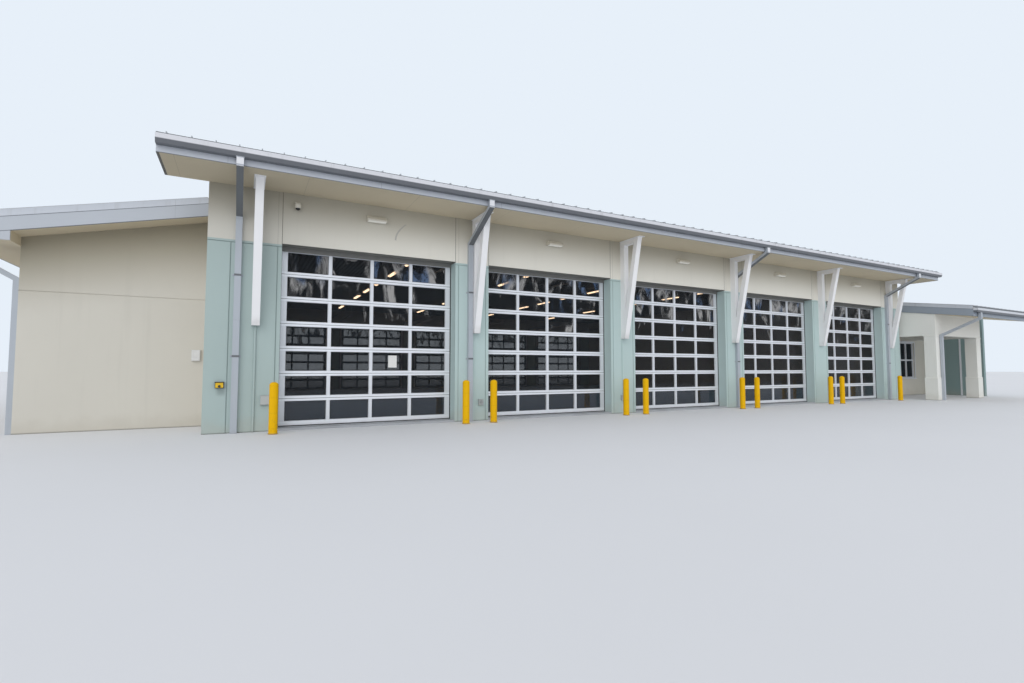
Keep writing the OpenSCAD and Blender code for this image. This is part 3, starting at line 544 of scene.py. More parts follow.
# ---- shapes
class Shape:
    """Points and faces of a piece. Shapes are joined with +, and repeated with placed() and turned()."""

    def __init__(self, points, corners, counts):
        self.points = np.asarray(points, float)
        self.corners = np.asarray(corners, np.int32)
        self.counts = np.asarray(counts, np.int32)

    def __add__(self, other):
        return Shape(
            np.vstack([self.points, other.points]),
            np.concatenate([self.corners, other.corners + len(self.points)]),
            np.concatenate([self.counts, other.counts]),
        )

    def placed(self, offsets):
        """A copy at each offset: point (k, i) = offset_k + point_i."""
        points = (np.asarray(offsets, float)[:, None] + self.points).reshape(-1, 3)
        corners = (np.arange(len(offsets))[:, None] * len(self.points) + self.corners).ravel()
        return Shape(points, corners, np.tile(self.counts, len(offsets)))

    def along(self, xs):
        """A copy at each x."""
        return self.placed(rows(xs, 0, 0))

    def turned(self):
        """The shape with its copy turned half round the upright axis: the rear repeats the front."""
        return self + Shape(self.points * [-1.0, -1.0, 1.0], self.corners, self.counts)

    def flipped(self):
        """The shape with the corners of each face in the other order."""
        return Shape(self.points, self.corners[::-1], self.counts[::-1])

    def mirrored(self):
        """The copy mirrored in Y, facing out."""
        return Shape(self.points * [1.0, -1.0, 1.0], self.corners, self.counts).flipped()

    def outward(self):
        """The shape, flipped if its volume is negative: the sum over the triangles of each face's fan of
        p0 . (p1 x p2) / 6, which is positive where the faces point out."""
        starts = np.cumsum(self.counts) - self.counts
        face = np.repeat(np.arange(len(self.counts)), self.counts)
        step = np.arange(len(self.corners)) - starts[face]
        fan = np.nonzero((step > 0) & (step < self.counts[face] - 1))[0]
        a, b, c = (self.points[self.corners[i]] for i in (starts[face[fan]], fan, fan + 1))
        return self if np.einsum("ij,ij->", a, np.cross(b, c)) > 0 else self.flipped()


def joined(shapes):
    return sum(shapes[1:], shapes[0])


def rows(*columns):
    """Every mix of the given x, y and z places, as a list of offsets."""
    grid = np.meshgrid(*columns, indexing="ij")
    return np.stack([g.ravel() for g in grid], -1)


def quads(n):
    """The faces of a grid of n by n squares: each joins point (i, j) to its neighbours, n + 1 apart in i."""
    a = (np.arange(n)[:, None] * (n + 1) + np.arange(n)).ravel()
    return np.stack([a, a + n + 1, a + n + 2, a + 1], -1)


def carried(profile, centres, across, up, loop=False):
    """A closed profile carried along a path. Point (i, j) = centre_i + u_j across_i + v_j up_i. Four-sided
    faces join neighbouring stations; an open path has a flat face at each end."""
    profile, centres = np.asarray(profile, float), np.asarray(centres, float)
    stations, sides = len(centres), len(profile)
    across, up = (np.broadcast_to(np.asarray(a, float), (stations, 3))[:, None] for a in (across, up))
    points = centres[:, None] + profile[None, :, :1] * across + profile[None, :, 1:] * up
    i = np.arange(stations if loop else stations - 1)[:, None]
    j = np.arange(sides)[None]
    after, beside = (i + 1) % stations, (j + 1) % sides
    faces = [i * sides + j, i * sides + beside, after * sides + beside, after * sides + j]
    corners = np.stack(faces, -1).ravel()
    counts = np.full(corners.size // 4, 4)
    if not loop:
        corners = np.concatenate([corners, np.arange(sides)[::-1], (stations - 1) * sides + np.arange(sides)])
        counts = np.append(counts, [sides, sides])
    return Shape(points.reshape(-1, 3), corners, counts).outward()


def level(profile, x0, x1, y, z, rise=0.0):
    """A profile carried level along X: u runs towards +Y, climbing with rise, and v up."""
    return carried(profile, [(x0, y, z), (x1, y, z)], (0, 1, rise), Z)


def block(lo, hi, cut):
    """A box with its edges cut back: a square with cut corners carried along X, drawn in at both ends."""
    lo, hi = np.minimum(lo, hi).astype(float), np.maximum(lo, hi).astype(float)
    half, middle = (hi - lo) / 2, (hi + lo) / 2
    cut = min(cut, half.min() * 0.45)
    x, y, z = half
    profile = [
        (-y, cut - z), (cut - y, -z), (y - cut, -z), (y, cut - z),
        (y, z - cut), (y - cut, z), (cut - y, z), (-y, z - cut),
    ]
    centres = middle + np.array([-x, cut - x, x - cut, x])[:, None] * X
    end = np.array([1.0, 0.0, 0.0, 1.0])[:, None]
    return carried(profile, centres, (1 - end * cut / y) * Y, (1 - end * cut / z) * Z)


def plate(x, half, ys, zs, cut):
    """A block that reaches half to both sides of x."""
    return block((x - half, ys[0], zs[0]), (x + half, ys[1], zs[1]), cut)


def circle(count, start=0.0):
    """Points at even angles round a circle of radius 1."""
    angle = np.linspace(0, 2 * np.pi, count, endpoint=False) + start
    return np.stack([np.cos(angle), np.sin(angle)], -1)


def polygon(count, radius):
    return circle(count, np.pi / count) * radius


AXES = {"x": (Y, Z, X), "y": (Z, X, Y), "z": (X, Y, Z)}


def spun(radii, heights, at, axis="z", sides=20):
    """A turned form: a ring of points of radius r_k at each height h_k along the axis, closed at the ends."""
    u, v, w = AXES[axis]
    radii, heights = np.array(radii, float)[:, None], np.array(heights, float)[:, None]
    return carried(circle(sides), np.array(at, float) + heights * w, radii * u, radii * v)


def bolt(at, axis, size):
    """A washer with a six-sided head on it, standing off against the axis."""
    washer = spun([size * 1.5] * 2, [0.0, -0.003], at, axis, 16)
    return washer + spun([size, size, size * 0.8], [-0.002, -0.009, -0.011], at, axis, 6)


def rod(start, end, radius, sides):
    """A round bar from start to end: a ring of points carried between two stations."""
    start, end = np.array(start, float), np.array(end, float)
    run = (end - start) / np.linalg.norm(end - start)
    side = np.cross(run, (0.3, 0.5, 0.81))
    side /= np.linalg.norm(side)
    return carried(polygon(sides, radius), [start, end], side, np.cross(run, side))


def hoop(at, radius, size, squash=1.0, stations=28):
    """A ring lying level: a small section carried round a circle."""
    out = np.pad(circle(stations), ((0, 0), (0, 1)))
    return carried(polygon(8, size), np.array(at) + radius * out, out, squash * Z, loop=True)


def frame_ring(x0, x1, z0, z1, profile, y):
    """A profile carried round a rectangle with mitred corners: u runs inwards from the edge, v towards -Y."""
    centres = [(x0, y, z0), (x1, y, z0), (x1, y, z1), (x0, y, z1)]
    inwards = [(1, 0, 1), (-1, 0, 1), (-1, 0, -1), (1, 0, -1)]
    return carried(profile, centres, inwards, -Y, loop=True)


def mm(*numbers):
    """The points (u, v) of a section, from millimetres."""
    return np.array(numbers).reshape(-1, 2) / 1000


# ---- roofs
SEAM = mm(-14, -3, 14, -3, 9, 4, 5, 26, 10, 30, 8, 38, -10, 38, -12, 30, -7, 26, -9, 4)
WING_RIDGE = 0.15


def seam(start, end):
    """A seam carried from start to end up a slope: u runs level across it, v square to it."""
    start, end = np.array(start, float), np.array(end, float)
    run = (end - start) / np.linalg.norm(end - start)
    side = np.cross(run, Z)
    side /= np.linalg.norm(side)
    return carried(SEAM, [start, end], side, np.cross(side, run))


def seam_up(top, y0, y1):
    """A seam at x = 0 from y0 to y1, on the slope whose height is top(y)."""
    return seam((0, y0, top(y0)), (0, y1, top(y1)))


def seams_between(a, b):
    count = int((b - a - 0.06) / SEAM_PITCH)
    return (a + b) / 2 + SEAM_PITCH * (np.arange(count + 1) - count / 2)


def hall_seams():
    """Standing seams up each slope, one every 0.41 m, from the eave to the ridge cap or the canopy's back."""
    y0 = EAVE_Y - DRIP
    xs = seams_between(-CANOPY_X1, CANOPY_X1)
    inside = np.abs(xs) < HALL_X1
    return (seam_up(hall_top, y0, -RIDGE_W).along(xs[inside])
            + seam_up(hall_top, y0, FRONT_Y).along(xs[~inside])).turned()


def wing_seams():
    """The same seams down the left wing roof, and up both slopes of the right wing and its porch."""
    left = seam(*((x, 0, left_top(x)) for x in (LEFT_EAVE_X, HALL_X0 - 0.09)))
    shape = left.placed(rows(0, seams_between(WING_EAVE_Y, -WING_EAVE_Y), 0))
    xs = seams_between(HALL_X1, PARTY_X)
    over_porch = (xs > PORCH_X0) & (xs < PORCH_X1)
    for keep, y0 in ((over_porch, PORCH_Y), (~over_porch, WING_EAVE_Y)):
        shape += seam_up(right_top, y0, -WING_RIDGE).along(xs[keep])
    return shape + seam_up(right_top, WING_EAVE_Y, -WING_RIDGE).along(xs).mirrored()


def folded(width, drop, thick):
    """The section of a folded edge trim: a flange over the sheet and a face that hangs down to a hem."""
    return np.array([
        (0.0, 0.0), (width, 0.0), (width, thick), (-thick, thick), (-thick, -drop), (-0.010, -drop - 0.008),
        (-0.006, -drop - 0.010), (0.0, -drop),
    ])


def verge(drop, x, y0, y1, top, slope, side):
    """A folded trim up a slope of height top(y). Its flange lies towards side along X; v is square to it."""
    ends = [(x, y, top(y)) for y in (y0, y1)]
    square = np.array([0, -slope, 1]) / math.sqrt(1 + slope ** 2)
    return carried(folded(0.07, drop, 0.006) * [side, 1], ends, X, square)


def roof_trims():
    """Folded trims along the open edges of the hall roof: verges of the gables and of the canopy ends."""
    return joined([
        verge(0.125, -side * x, a, b, hall_top, HALL_SLOPE, side)
        for side in (1, -1) for x, a, b in ((CANOPY_X1, EAVE_Y - DRIP, FRONT_Y), (HALL_X1, FRONT_Y, 0.0))
    ]).turned()


def wing_trims():
    """The same verges along both slopes of the left wing and up the sides of the porch roof."""
    square = np.array([-WING_SLOPE, 0, 1]) / math.sqrt(1 + WING_SLOPE ** 2)
    ends = [(x, WING_EAVE_Y, left_top(x)) for x in (LEFT_EAVE_X, HALL_X0)]
    left = carried(folded(0.07, 0.118, 0.006), ends, Y, square)
    return joined([left, left.mirrored()] + [
        verge(0.118, x, PORCH_Y, WING_EAVE_Y, right_top, PORCH_SLOPE, side)
        for x, side in ((PORCH_X0, 1), (PORCH_X1, -1))
    ])


def drip_edges():
    """A folded drip edge along the eaves of the hall and of the porch, dark as painted shade over the gutter
    lip.
    """
    drip = folded(0.05, 0.045, 0.003)
    y0 = EAVE_Y - DRIP
    hall = level(drip, -CANOPY_X1, CANOPY_X1, y0, hall_top(y0), HALL_SLOPE).turned()
    return hall + level(drip, PORCH_X0, PORCH_X1, PORCH_Y, right_top(PORCH_Y), PORCH_SLOPE)


def eave_returns():
    """At both ends of the left eave: the level end of the front board, carried on to the wing wall, and
    behind it the board that closes the eave, with a cover strip."""
    start, y0, y1 = LEFT_X - EAVE_RETURN, WING_EAVE_Y, WING_EAVE_Y + BOARD_T
    low = FASCIA_H - 0.01
    top = left_top(LEFT_X) - low
    face = [(start, EAVE_SOFFIT), (LEFT_X, EAVE_SOFFIT), (LEFT_X, top), (start, left_top(start) - low)]
    both = joined([
        carried(face, [(0, y0 + 0.0006, 0), (0, y1, 0)], X, Z),
        plate(LEFT_X - 0.0075, 0.0085, (y1, WING_Y), (EAVE_SOFFIT - 0.001, top), 0.0005),
        plate(LEFT_X + 0.001, 0.005, (y1, WING_Y), (EAVE_SOFFIT - 0.002, EAVE_SOFFIT + 0.027), 0.002),
    ])
    return both + both.mirrored()


def flashings():
    """Apron flashings where the wing roofs meet the hall walls, and the ridge cap of the right wing."""
    apron = mm(0, -2, 170, -2, 175, 12, 12, 12, 12, 160, 4, 168, 0, 160)
    over = 0.036
    out, up = apron.T
    left = np.stack([-out, up - WING_SLOPE * out + over], -1)
    shape = carried(left, [(HALL_X0, y, left_top(HALL_X0)) for y in (WING_Y, -WING_Y)], X, Z)
    for sign in (1, -1):
        ends = [(HALL_X1, sign * WING_Y, right_top(WING_Y) + over), (HALL_X1, 0, right_top(0) + over)]
        shape += carried(apron, ends, X, Z)
    half, top, thick = 0.2, 0.045, 0.006
    edge = top - half * PORCH_SLOPE
    under = [(-half, edge - thick), (0, top - thick), (half, edge - thick)]
    cap = [*under, (half, edge), (0, top + 0.004), (-half, edge)]
    return shape + level(cap, HALL_X1, PARTY_X, 0, right_top(0))


# ---- gutters, downspouts and brackets
def trough(a, b, y, top, strap_drop=0.02):
    """For a gutter along X: a rolled bead along the front lip, and hangers across the trough every 0.9 m."""
    lip = level(polygon(8, 0.008), a, b, y - GUTTER_D + 0.008, top)
    low = top - strap_drop
    strap = plate(0, 0.0125, (y - GUTTER_D + 0.006, y - 0.006), (low - 0.003, low), 0.001)
    return lip + strap.along(np.arange(a + 0.4, b - 0.2, 0.9))


def gutter_fittings():
    """The beads and hangers of all the gutters. The left wing's are a trough with x and y swapped."""
    hall = trough(-CANOPY_X1, CANOPY_X1, EAVE_Y, GUTTER_Z + GUTTER_H, 0.05).turned()
    porch = trough(PORCH_X0, PORCH_X1, PORCH_Y, PORCH_UNDER - 0.004)
    rear = trough(HALL_X1, PARTY_X, WING_EAVE_Y, REAR_UNDER - 0.004).mirrored()
    left = trough(WING_EAVE_Y, -WING_EAVE_Y, LEFT_EAVE_X, LEFT_UNDER - 0.004)
    return hall + porch + rear + Shape(left.points[:, [1, 0, 2]], left.corners, left.counts).flipped()


def spout_fittings():
    """On each hall downspout: bands at the elbows, a collar under the gutter, a boot at the foot, and a
    screwed ear on both sides of each strap."""
    half, out = SPOUT_W / 2, EAVE_Y - GUTTER_FLAT
    on_wall = (FRONT_Y - SPOUT_D - 0.003, FRONT_Y)
    parts = [
        plate(0, half + 0.003, on_wall, (z, z + height), 0.002)
        for z, height in ((LEADER_Z - 0.06, 0.05), (0.0, 0.055), (2.46, 0.012))
    ]
    for wide, deep, zs, cut in (
            (0.003, 0.003, (5.44, 5.47), 0.002), (0.012, 0.010, (GUTTER_Z - 0.012, GUTTER_Z + 0.001), 0.003)):
        parts.append(plate(0, half + wide, (out - deep, out + SPOUT_D + deep), zs, cut))
    ear_half, ear_y, ear_h = 0.019, FRONT_Y - 0.004, 0.045
    for at in rows(np.array([-1, 1]) * (half + 0.004 + ear_half), ear_y, (1.65, 3.44)):
        parts.append(plate(at[0], ear_half, (ear_y, FRONT_Y), (at[2], at[2] + ear_h), 0.0015))
        parts.append(bolt(at + Z * ear_h / 2, "y", 0.006))
    return joined(parts).along(SPOUTS).turned()


def bracket_fittings():
    """On each canopy bracket: a plate under the soffit that runs past the strut, its bolts, a foot plate."""
    half, front, low = BRACKET_W / 2, FRONT_Y - BRACKET_REACH, SOFFIT_Z - 0.014
    parts = [
        plate(0, half + 0.03, (front - 0.10, FRONT_Y), (low, SOFFIT_Z + 0.001), 0.003),
        plate(0, half + 0.003, (FRONT_Y - 0.189, FRONT_Y), (BRACKET_Z - 0.010, BRACKET_Z + 0.004), 0.002),
    ]
    bolts = rows((-half - 0.015, half + 0.015), (front - 0.06, front + 0.20, FRONT_Y - 0.08), low)
    return joined(parts + [bolt(at, "z", 0.009) for at in bolts]).along(BRACKETS).turned()


# ---- doors
PANES_X = (DOORS[:, None] + STILE_W + PANE_STEP * np.arange(COLS)).ravel()
PANES = rows(PANES_X, 0, PANE_Z0 + SECTION_H * np.arange(ROWS))
BEAD = mm(0, 1, 12, 1, 12, 6, 4, 24, 0, 24)
GASKET = mm(10, 0.5, 19, 0.5, 19, 4, 15, 8, 10, 7)


def door_panes(profile):
    """A profile carried round every pane of every door, against the glass."""
    return frame_ring(0, PANE_W, 0, PANE_H, profile, DOOR_Y + DOOR_T).placed(PANES).turned()


def door_seals():
    """Rubber round each doorway: a bulb under the bottom rail and a lip down both jambs and over the top."""
    bulb = mm(0, 0, 16, 0, 30, 6, 34, 16, 28, 26, 0, 28)
    lip = mm(0, 0, 0, 12, 12, 16, 24, 8, 24, 0)
    under = level(bulb * [-1, 1] + [0.024, 0], 0.01, DOOR_W - 0.01, DOOR_Y, FLOOR_T)
    return (under + frame_ring(0, DOOR_W, FLOOR_T - 0.03, DOOR_H, lip, DOOR_Y)).along(DOORS).turned()


def door_head_seals():
    """A grey flap seal across the top of each door, with a rolled lower lip; its dark grey is painted shade
    on the top rail.
    """
    flap = mm(-24.5, 0, -24.5, -94, -21, -104, -26, -108, -31, -98, -30, 0)
    return level(flap, 0.003, DOOR_W - 0.003, DOOR_Y, DOOR_H - 0.001).along(DOORS).turned()


def door_hinges():
    """Inside, at each section joint and each upright: two leaves and a round knuckle."""
    back = DOOR_Y + DOOR_T + GLASS_T
    leaves = [plate(0, 0.03, (back, back + 0.004), zs, 0.0015) for zs in ((-0.05, -0.006), (0.006, 0.05))]
    hinge = joined([*leaves, spun([0.009] * 2, [-0.032, 0.032], (0, back + 0.007, 0), "x", 10)])
    mullions = STILE_W - MULLION_W / 2 + PANE_STEP * np.arange(1, COLS)
    uprights = np.concatenate([[0.1], mullions, [DOOR_W - 0.1]])
    joints = FIRST_JOINT + SECTION_H * np.arange(1, ROWS)
    return hinge.placed(rows((DOORS[:, None] + uprights).ravel(), 0, joints)).turned()


def door_tracks():
    """A channel up both sides of each door, round a quarter circle and back level under the ceiling, with two
    hanging rods. Station angle t runs from 0 to 90 degrees: centre = (y0 + R - R cos t, z0 + R sin t)."""
    angle = np.linspace(0, np.pi / 2, 9)
    radius, y0, z0 = 0.38, DOOR_Y + DOOR_T + 0.055, DOOR_H + 0.1
    y = np.concatenate([[y0], y0 + radius - radius * np.cos(angle), [y0 + 4.4]])
    z = np.concatenate([[FLOOR_T], z0 + radius * np.sin(angle), [z0 + radius]])
    turn = np.concatenate([[0.0], angle, [np.pi / 2]])
    normal = np.stack([0 * turn, np.cos(turn), -np.sin(turn)], -1)
    half = mm(-25, -30, 25, -30, 25, -18, 22, -18, 22, -27, -22, -27)
    channel = np.vstack([half, half[::-1] * [1, -1]])
    made = []
    for side, x in ((1, -0.09), (-1, DOOR_W + 0.09)):
        path = np.stack([np.full_like(y, x), y, z], -1)
        made.append(carried(channel * [side, 1], path, X, normal))
        for back in (y0 + 2.0, y0 + 4.2):
            made.append(rod((x, back, z0 + radius + 0.02), (x, back, SOFFIT_Z), 0.008, 6))
    return joined(made).along(DOORS).turned()


# ---- windows
WINDOW_IN, WINDOW_PITCH = 4.1, 2.5
WINDOWS_X = HALL_X1 + WINDOW_IN - WINDOW_PITCH * np.arange(2)
WINDOW_W, WINDOW_H, SILL_Z, SASH_W = 1.48, 1.96, 0.917, 0.06
WINDOW_PANE_W, WINDOW_PANE_H = (WINDOW_W - 3 * SASH_W) / 2, (WINDOW_H - 3 * SASH_W) / 2


def both_wing_fronts(shape):
    shape = shape.along(WINDOWS_X)
    return shape + shape.mirrored()


def window_beads(profile):
    """A profile carried round each of the four panes of every window."""
    x0, z0 = SASH_W, SILL_Z + SASH_W
    ring = frame_ring(x0, x0 + WINDOW_PANE_W, z0, z0 + WINDOW_PANE_H, profile, WING_Y + 0.12)
    steps = rows(np.arange(2) * (WINDOW_PANE_W + SASH_W), 0, np.arange(2) * (WINDOW_PANE_H + SASH_W))
    return both_wing_fronts(ring.placed(steps))


def window_casings():
    """A flat casing round each opening, and a sill that slopes out over it with a drip."""
    casing = mm(-50, 0, 1, 0, 1, 12, -46, 14, -50, 10)
    sill = mm(65, 20, -50, 2, -60, -6, -60, -34, -52, -34, -48, -22, 65, -22)
    return both_wing_fronts(
        frame_ring(0, WINDOW_W, SILL_Z, SILL_Z + WINDOW_H, casing, WING_Y)
        + level(sill, -0.07, WINDOW_W + 0.07, WING_Y, SILL_Z)
    )


# ---- lights and bollards
LAMP_PITCH, LAMP_ROWS = 2.55, 8
CEILING_LIGHTS = rows(DOORS[1:] - HALF_PIER, LAMP_PITCH * (np.arange(LAMP_ROWS) - (LAMP_ROWS - 1) / 2), 0)
BOLLARD_OUT, SLEEVE_R = 0.6, 0.0885
BOLLARDS = rows(np.concatenate([DOORS - 0.125, DOORS + DOOR_W + 0.075]), FRONT_Y - BOLLARD_OUT, 0)


def wall_light_lenses():
    """The diffuser under each wall light: a shallow tray section along X."""
    tray = mm(-168, 2, -28, 2, -30, -6, -50, -13, -145, -13, -166, -6)
    return level(tray, -0.215, 0.215, FRONT_Y, LIGHT_Z).along(DOORS + DOOR_W / 2)


def wall_light_bands():
    """Two raised bands and two screws on the housing of each wall light."""
    ys, zs = (FRONT_Y - 0.1825, FRONT_Y - 0.176), (LIGHT_Z + 0.001, LIGHT_Z + 0.040)
    parts = [plate(x, 0.006, ys, zs, 0.002) for x in (-0.231, 0.231)]
    parts += [bolt((x, FRONT_Y - 0.1795, LIGHT_Z + 0.02), "y", 0.004) for x in (-0.12, 0.12)]
    return joined(parts).along(DOORS + DOOR_W / 2)


def ceiling_light_lenses():
    """A half-round diffuser under each ceiling light, closed at both ends."""
    angle = np.linspace(np.pi, 2 * np.pi, 11)
    half_round = np.stack([0.088 * np.cos(angle), 0.05 * np.sin(angle)], -1)
    return carried(half_round, [(0, y, SOFFIT_Z - 0.078) for y in (-0.59, 0.59)], X, Z).placed(CEILING_LIGHTS)


def bollard_rings():
    """Two rolled rings on each sleeve, and a bead of sealant where it meets the ground."""
    rings = [hoop((0, 0, z), SLEEVE_R, 0.0045) for z in (1.035, 0.13)]
    return joined([*rings, hoop((0, 0, 0.008), SLEEVE_R + 0.0055, 0.009, 0.8)]).placed(BOLLARDS)


# ---- wall fittings
TAPS = (BRACKETS[1] + 0.172, BRACKETS[2] - 0.057)
BOX_FACE = FRONT_Y - 0.06
CAMERA_AT = (DOORS[0] + 0.31, FRONT_Y - 0.09, 5.19)


def conduits():
    """Painted pipes up the wall to the first and third brackets, with saddles."""
    parts = []
    for x, low, radius in ((BRACKETS[0], 0.0, 0.022), (TAPS[1], 0.58, 0.012)):
        y = FRONT_Y - radius
        parts.append(spun([radius] * 2, [low, BRACKET_Z - 0.008], (x, y, 0), "z", 14))
        for z in np.arange(low + 0.35, BRACKET_Z - 0.2, 0.62):
            zs = (z, z + 0.018)
            parts.append(plate(x, radius + 0.003, (y - radius - 0.002, FRONT_Y), zs, 0.002))
            parts.append(plate(x, radius + 0.018, (FRONT_Y - 0.003, FRONT_Y), zs, 0.001))
    return joined(parts)


def call_box_face():
    """A plain yellow plate with two round lamps over the button."""
    y = BOX_FACE - 0.005
    lamp = spun([0.010, 0.010, 0.006], [0.0, -0.006, -0.009], (CALL_X, y, 1.072), "y", 14)
    return plate(CALL_X, 0.073, (y, BOX_FACE + 0.001), (0.992, 1.098), 0.003) + lamp.along((-0.045, 0.045))


def call_box_button():
    """A mushroom button of radius r_k at each height h_k, and a hood over the plate."""
    radii, heights = [0.020, 0.020, 0.026, 0.026, 0.020], [0.0, -0.014, -0.016, -0.026, -0.030]
    button = spun(radii, heights, (CALL_X, BOX_FACE - 0.005, 1.022), "y", 20)
    return button + plate(CALL_X, 0.092, (BOX_FACE - 0.022, FRONT_Y), (1.104, 1.116), 0.003)


def outlet_lid():
    """A hinged weather lid over the outlet: a plate with a rib, its catch and its hinge pin."""
    parts = [
        plate(COVER_X, half, (BOX_FACE - out, BOX_FACE - back), zs, cut)
        for half, out, back, zs, cut in (
            (0.086, 0.016, 0.0, (0.600, 0.792), 0.007), (0.004, 0.019, 0.014, (0.612, 0.780), 0.002),
            (0.014, 0.021, 0.006, (0.596, 0.611), 0.003),
        )
    ]
    return joined([*parts, spun([0.006] * 2, [-0.07, 0.07], (COVER_X, BOX_FACE - 0.004, 0.800), "x", 12)])


def hose_taps():
    """A tap on each hose box: a stub out, a spout turned down round a quarter circle of angle t, where
    centre = (y1 - r sin t, z1 + r cos t), and a wheel of six spokes."""
    bend_r, y1, z1 = 0.03, BOX_FACE - 0.055, 0.47
    wheel_y, wheel_z, wheel_r = BOX_FACE - 0.04, 0.553, 0.024
    t = np.linspace(0, np.pi / 2, 6)
    out = np.stack([0 * t, np.sin(t), np.cos(t)], -1)
    bend = out * [0, -bend_r, bend_r] + [0, y1, z1]
    bend, out = np.vstack([bend, (0, y1 - bend_r, 0.435)]), np.vstack([out, Y])
    parts = [
        spun([0.024, 0.024, 0.013, 0.013], [0.0, -0.005, -0.006, -0.055], (0, BOX_FACE, 0.50), "y", 14),
        carried(polygon(12, 0.012), bend, X, out),
        spun([0.006] * 2, [0.0, 0.05], (0, wheel_y, 0.505), "z", 8),
        hoop((0, wheel_y, wheel_z), wheel_r, 0.004, stations=18),
    ]
    for dx, dy in circle(6)[:3] * wheel_r:
        parts.append(rod((-dx, wheel_y - dy, wheel_z), (dx, wheel_y + dy, wheel_z), 0.003, 6))
    return joined(parts).along(TAPS)


def meter_door():
    """The framed door of the meter box with its window, latch and two hinges."""
    half, z0, z1, back = 0.082, 1.60, 1.85, WING_Y - 0.06
    y = back - 0.008
    rim = mm(-12, 0, 0, 0, 0, 4, -12, 6)
    return joined([
        plate(METER_X, half, (y, back), (z0, z1), 0.003),
        frame_ring(METER_X - half + 0.03, METER_X + half - 0.03, z0 + 0.09, z1 - 0.03, rim, y),
        spun([0.010, 0.010, 0.007], [0.0, -0.006, -0.009], (METER_X + half - 0.02, y, z0 + 0.045), "y", 14),
        *(spun([0.005] * 2, [-0.02, 0.02], (METER_X - half - 0.003, y + 0.004, z), "z", 10)
          for z in (z0 + 0.05, z1 - 0.05)),
    ])


def camera_dome():
    """The smoked dome: the radius falls nearly to nothing along a quarter circle."""
    angle = np.linspace(0, np.pi / 2 * 0.93, 9)
    return spun(0.055 * np.cos(angle), -0.062 - 0.052 * np.sin(angle), CAMERA_AT, "z", 24)


def camera_collar():
    """A collar of radius r_k at each height h_k."""
    return spun([0.066, 0.068, 0.066, 0.060], [0.026, 0.018, -0.046, -0.066], CAMERA_AT, "z", 24)


def column_trims():
    """Carried round each porch column: a band at the neck under the beam and a bevelled cap on the base."""
    half = COLUMN_W / 2
    y0 = COLUMNS[0].y + COLUMN_BASE_OUT
    turn = np.array([(-1, -1, 0), (1, -1, 0), (1, 1, 0), (-1, 1, 0)])
    corners = turn * half + [PORCH_X0 + BOARD_T + half, y0 + half, 0.0]
    neck = mm(-4, 0, 10, 0, 16, 6, 16, 36, 12, 42, -4, 42)
    cap = mm(-4, 0, 26, -4, 26, 10, 0, 34, -4, 34)
    return joined([
        carried(profile, corners + z * Z, turn, Z, loop=True)
        for profile, z in ((neck, COLUMN_H - 0.046), (cap, COLUMN_BASE_H))
    ]).along(COLUMN_PITCH * np.arange(2))


def party_wall_trims():
    """The upright trim on the inner face of the party wall, and the folded cap over its forward end."""
    inner, top = PARTY_X - 0.2, 4.3
    trim = block((inner - 0.014, FRONT_Y + 0.23, 0.0), (inner + 0.001, FRONT_Y + 0.31, top - 0.04), 0.003)
    cap = mm(0, 0, -16, -30, -20, -28, -6, 22, 199, 22, 199, 0)
    return trim + carried(cap, [(inner, y, top) for y in (FRONT_Y - 0.712, WING_EAVE_Y + BOARD_T)], X, Z)


def blank_sheet():
    """A plain paper sheet taped inside a pane of the first door: a thin grid bowed by x squared."""
    n, half_w, half_h, bow, thick = 8, 0.11, 0.155, 0.006, 0.0015
    middle = [PANES_X[2] + 0.52, DOOR_Y + DOOR_T - 0.003, PANE_Z0 + 2 * SECTION_H + 0.245]
    u, _, v = rows(np.linspace(-1, 1, n + 1), 0, np.linspace(-1, 1, n + 1)).T
    front = middle + np.stack([half_w * u, -bow * u ** 2, half_h * v], -1)
    grid = np.arange((n + 1) ** 2).reshape(n + 1, n + 1)
    rim = np.concatenate([grid[:, 0], grid[-1, 1:], grid[-2::-1, -1], grid[0, -2:0:-1]])
    after = np.roll(rim, -1)
    sides = np.stack([rim, rim + grid.size, after + grid.size, after], -1)
    faces = np.vstack([quads(n), quads(n)[:, ::-1] + grid.size, sides])
    points = np.vstack([front, front + thick * Y])
    return Shape(points, faces.ravel(), np.full(len(faces), 4)).outward()


# ---- materials of the building's own nodes
# Depths below the tops of the roofs.
def hall_depth(f):
    return hall_top(0.0 - abs(f.y)) - f.z


def left_depth(f):
    return left_top(f.x) - f.z


def right_depth(f):
    return right_top(0.0 - abs(f.y)) - f.z


# Gaps under the soffits, which set where the painted shade under the eaves lies.
def under_soffit(f):
    return SOFFIT_Z - f.z


def under_left_eave(f):
    return left_depth(f) - FASCIA_H


def under_right_eave(f):
    return right_top(WING_EAVE_Y) - FASCIA_H - f.z


# 1 on the inner faces of the eave boards.
def in_left_eave(f):
    return (abs(f.y) < -WING_EAVE_Y - BOARD_T + 0.001) * (f.x > LEFT_EAVE_X + BOARD_T + 0.001)


def in_right_eave(f):
    return abs(f.y) < -WING_EAVE_Y - BOARD_T - 0.001


def in_porch_eave(f):
    inset = BOARD_T + 0.001
    return (f.x > PORCH_X0 + inset) * (f.x < PORCH_X1 - inset) * (f.y > PORCH_Y + inset)


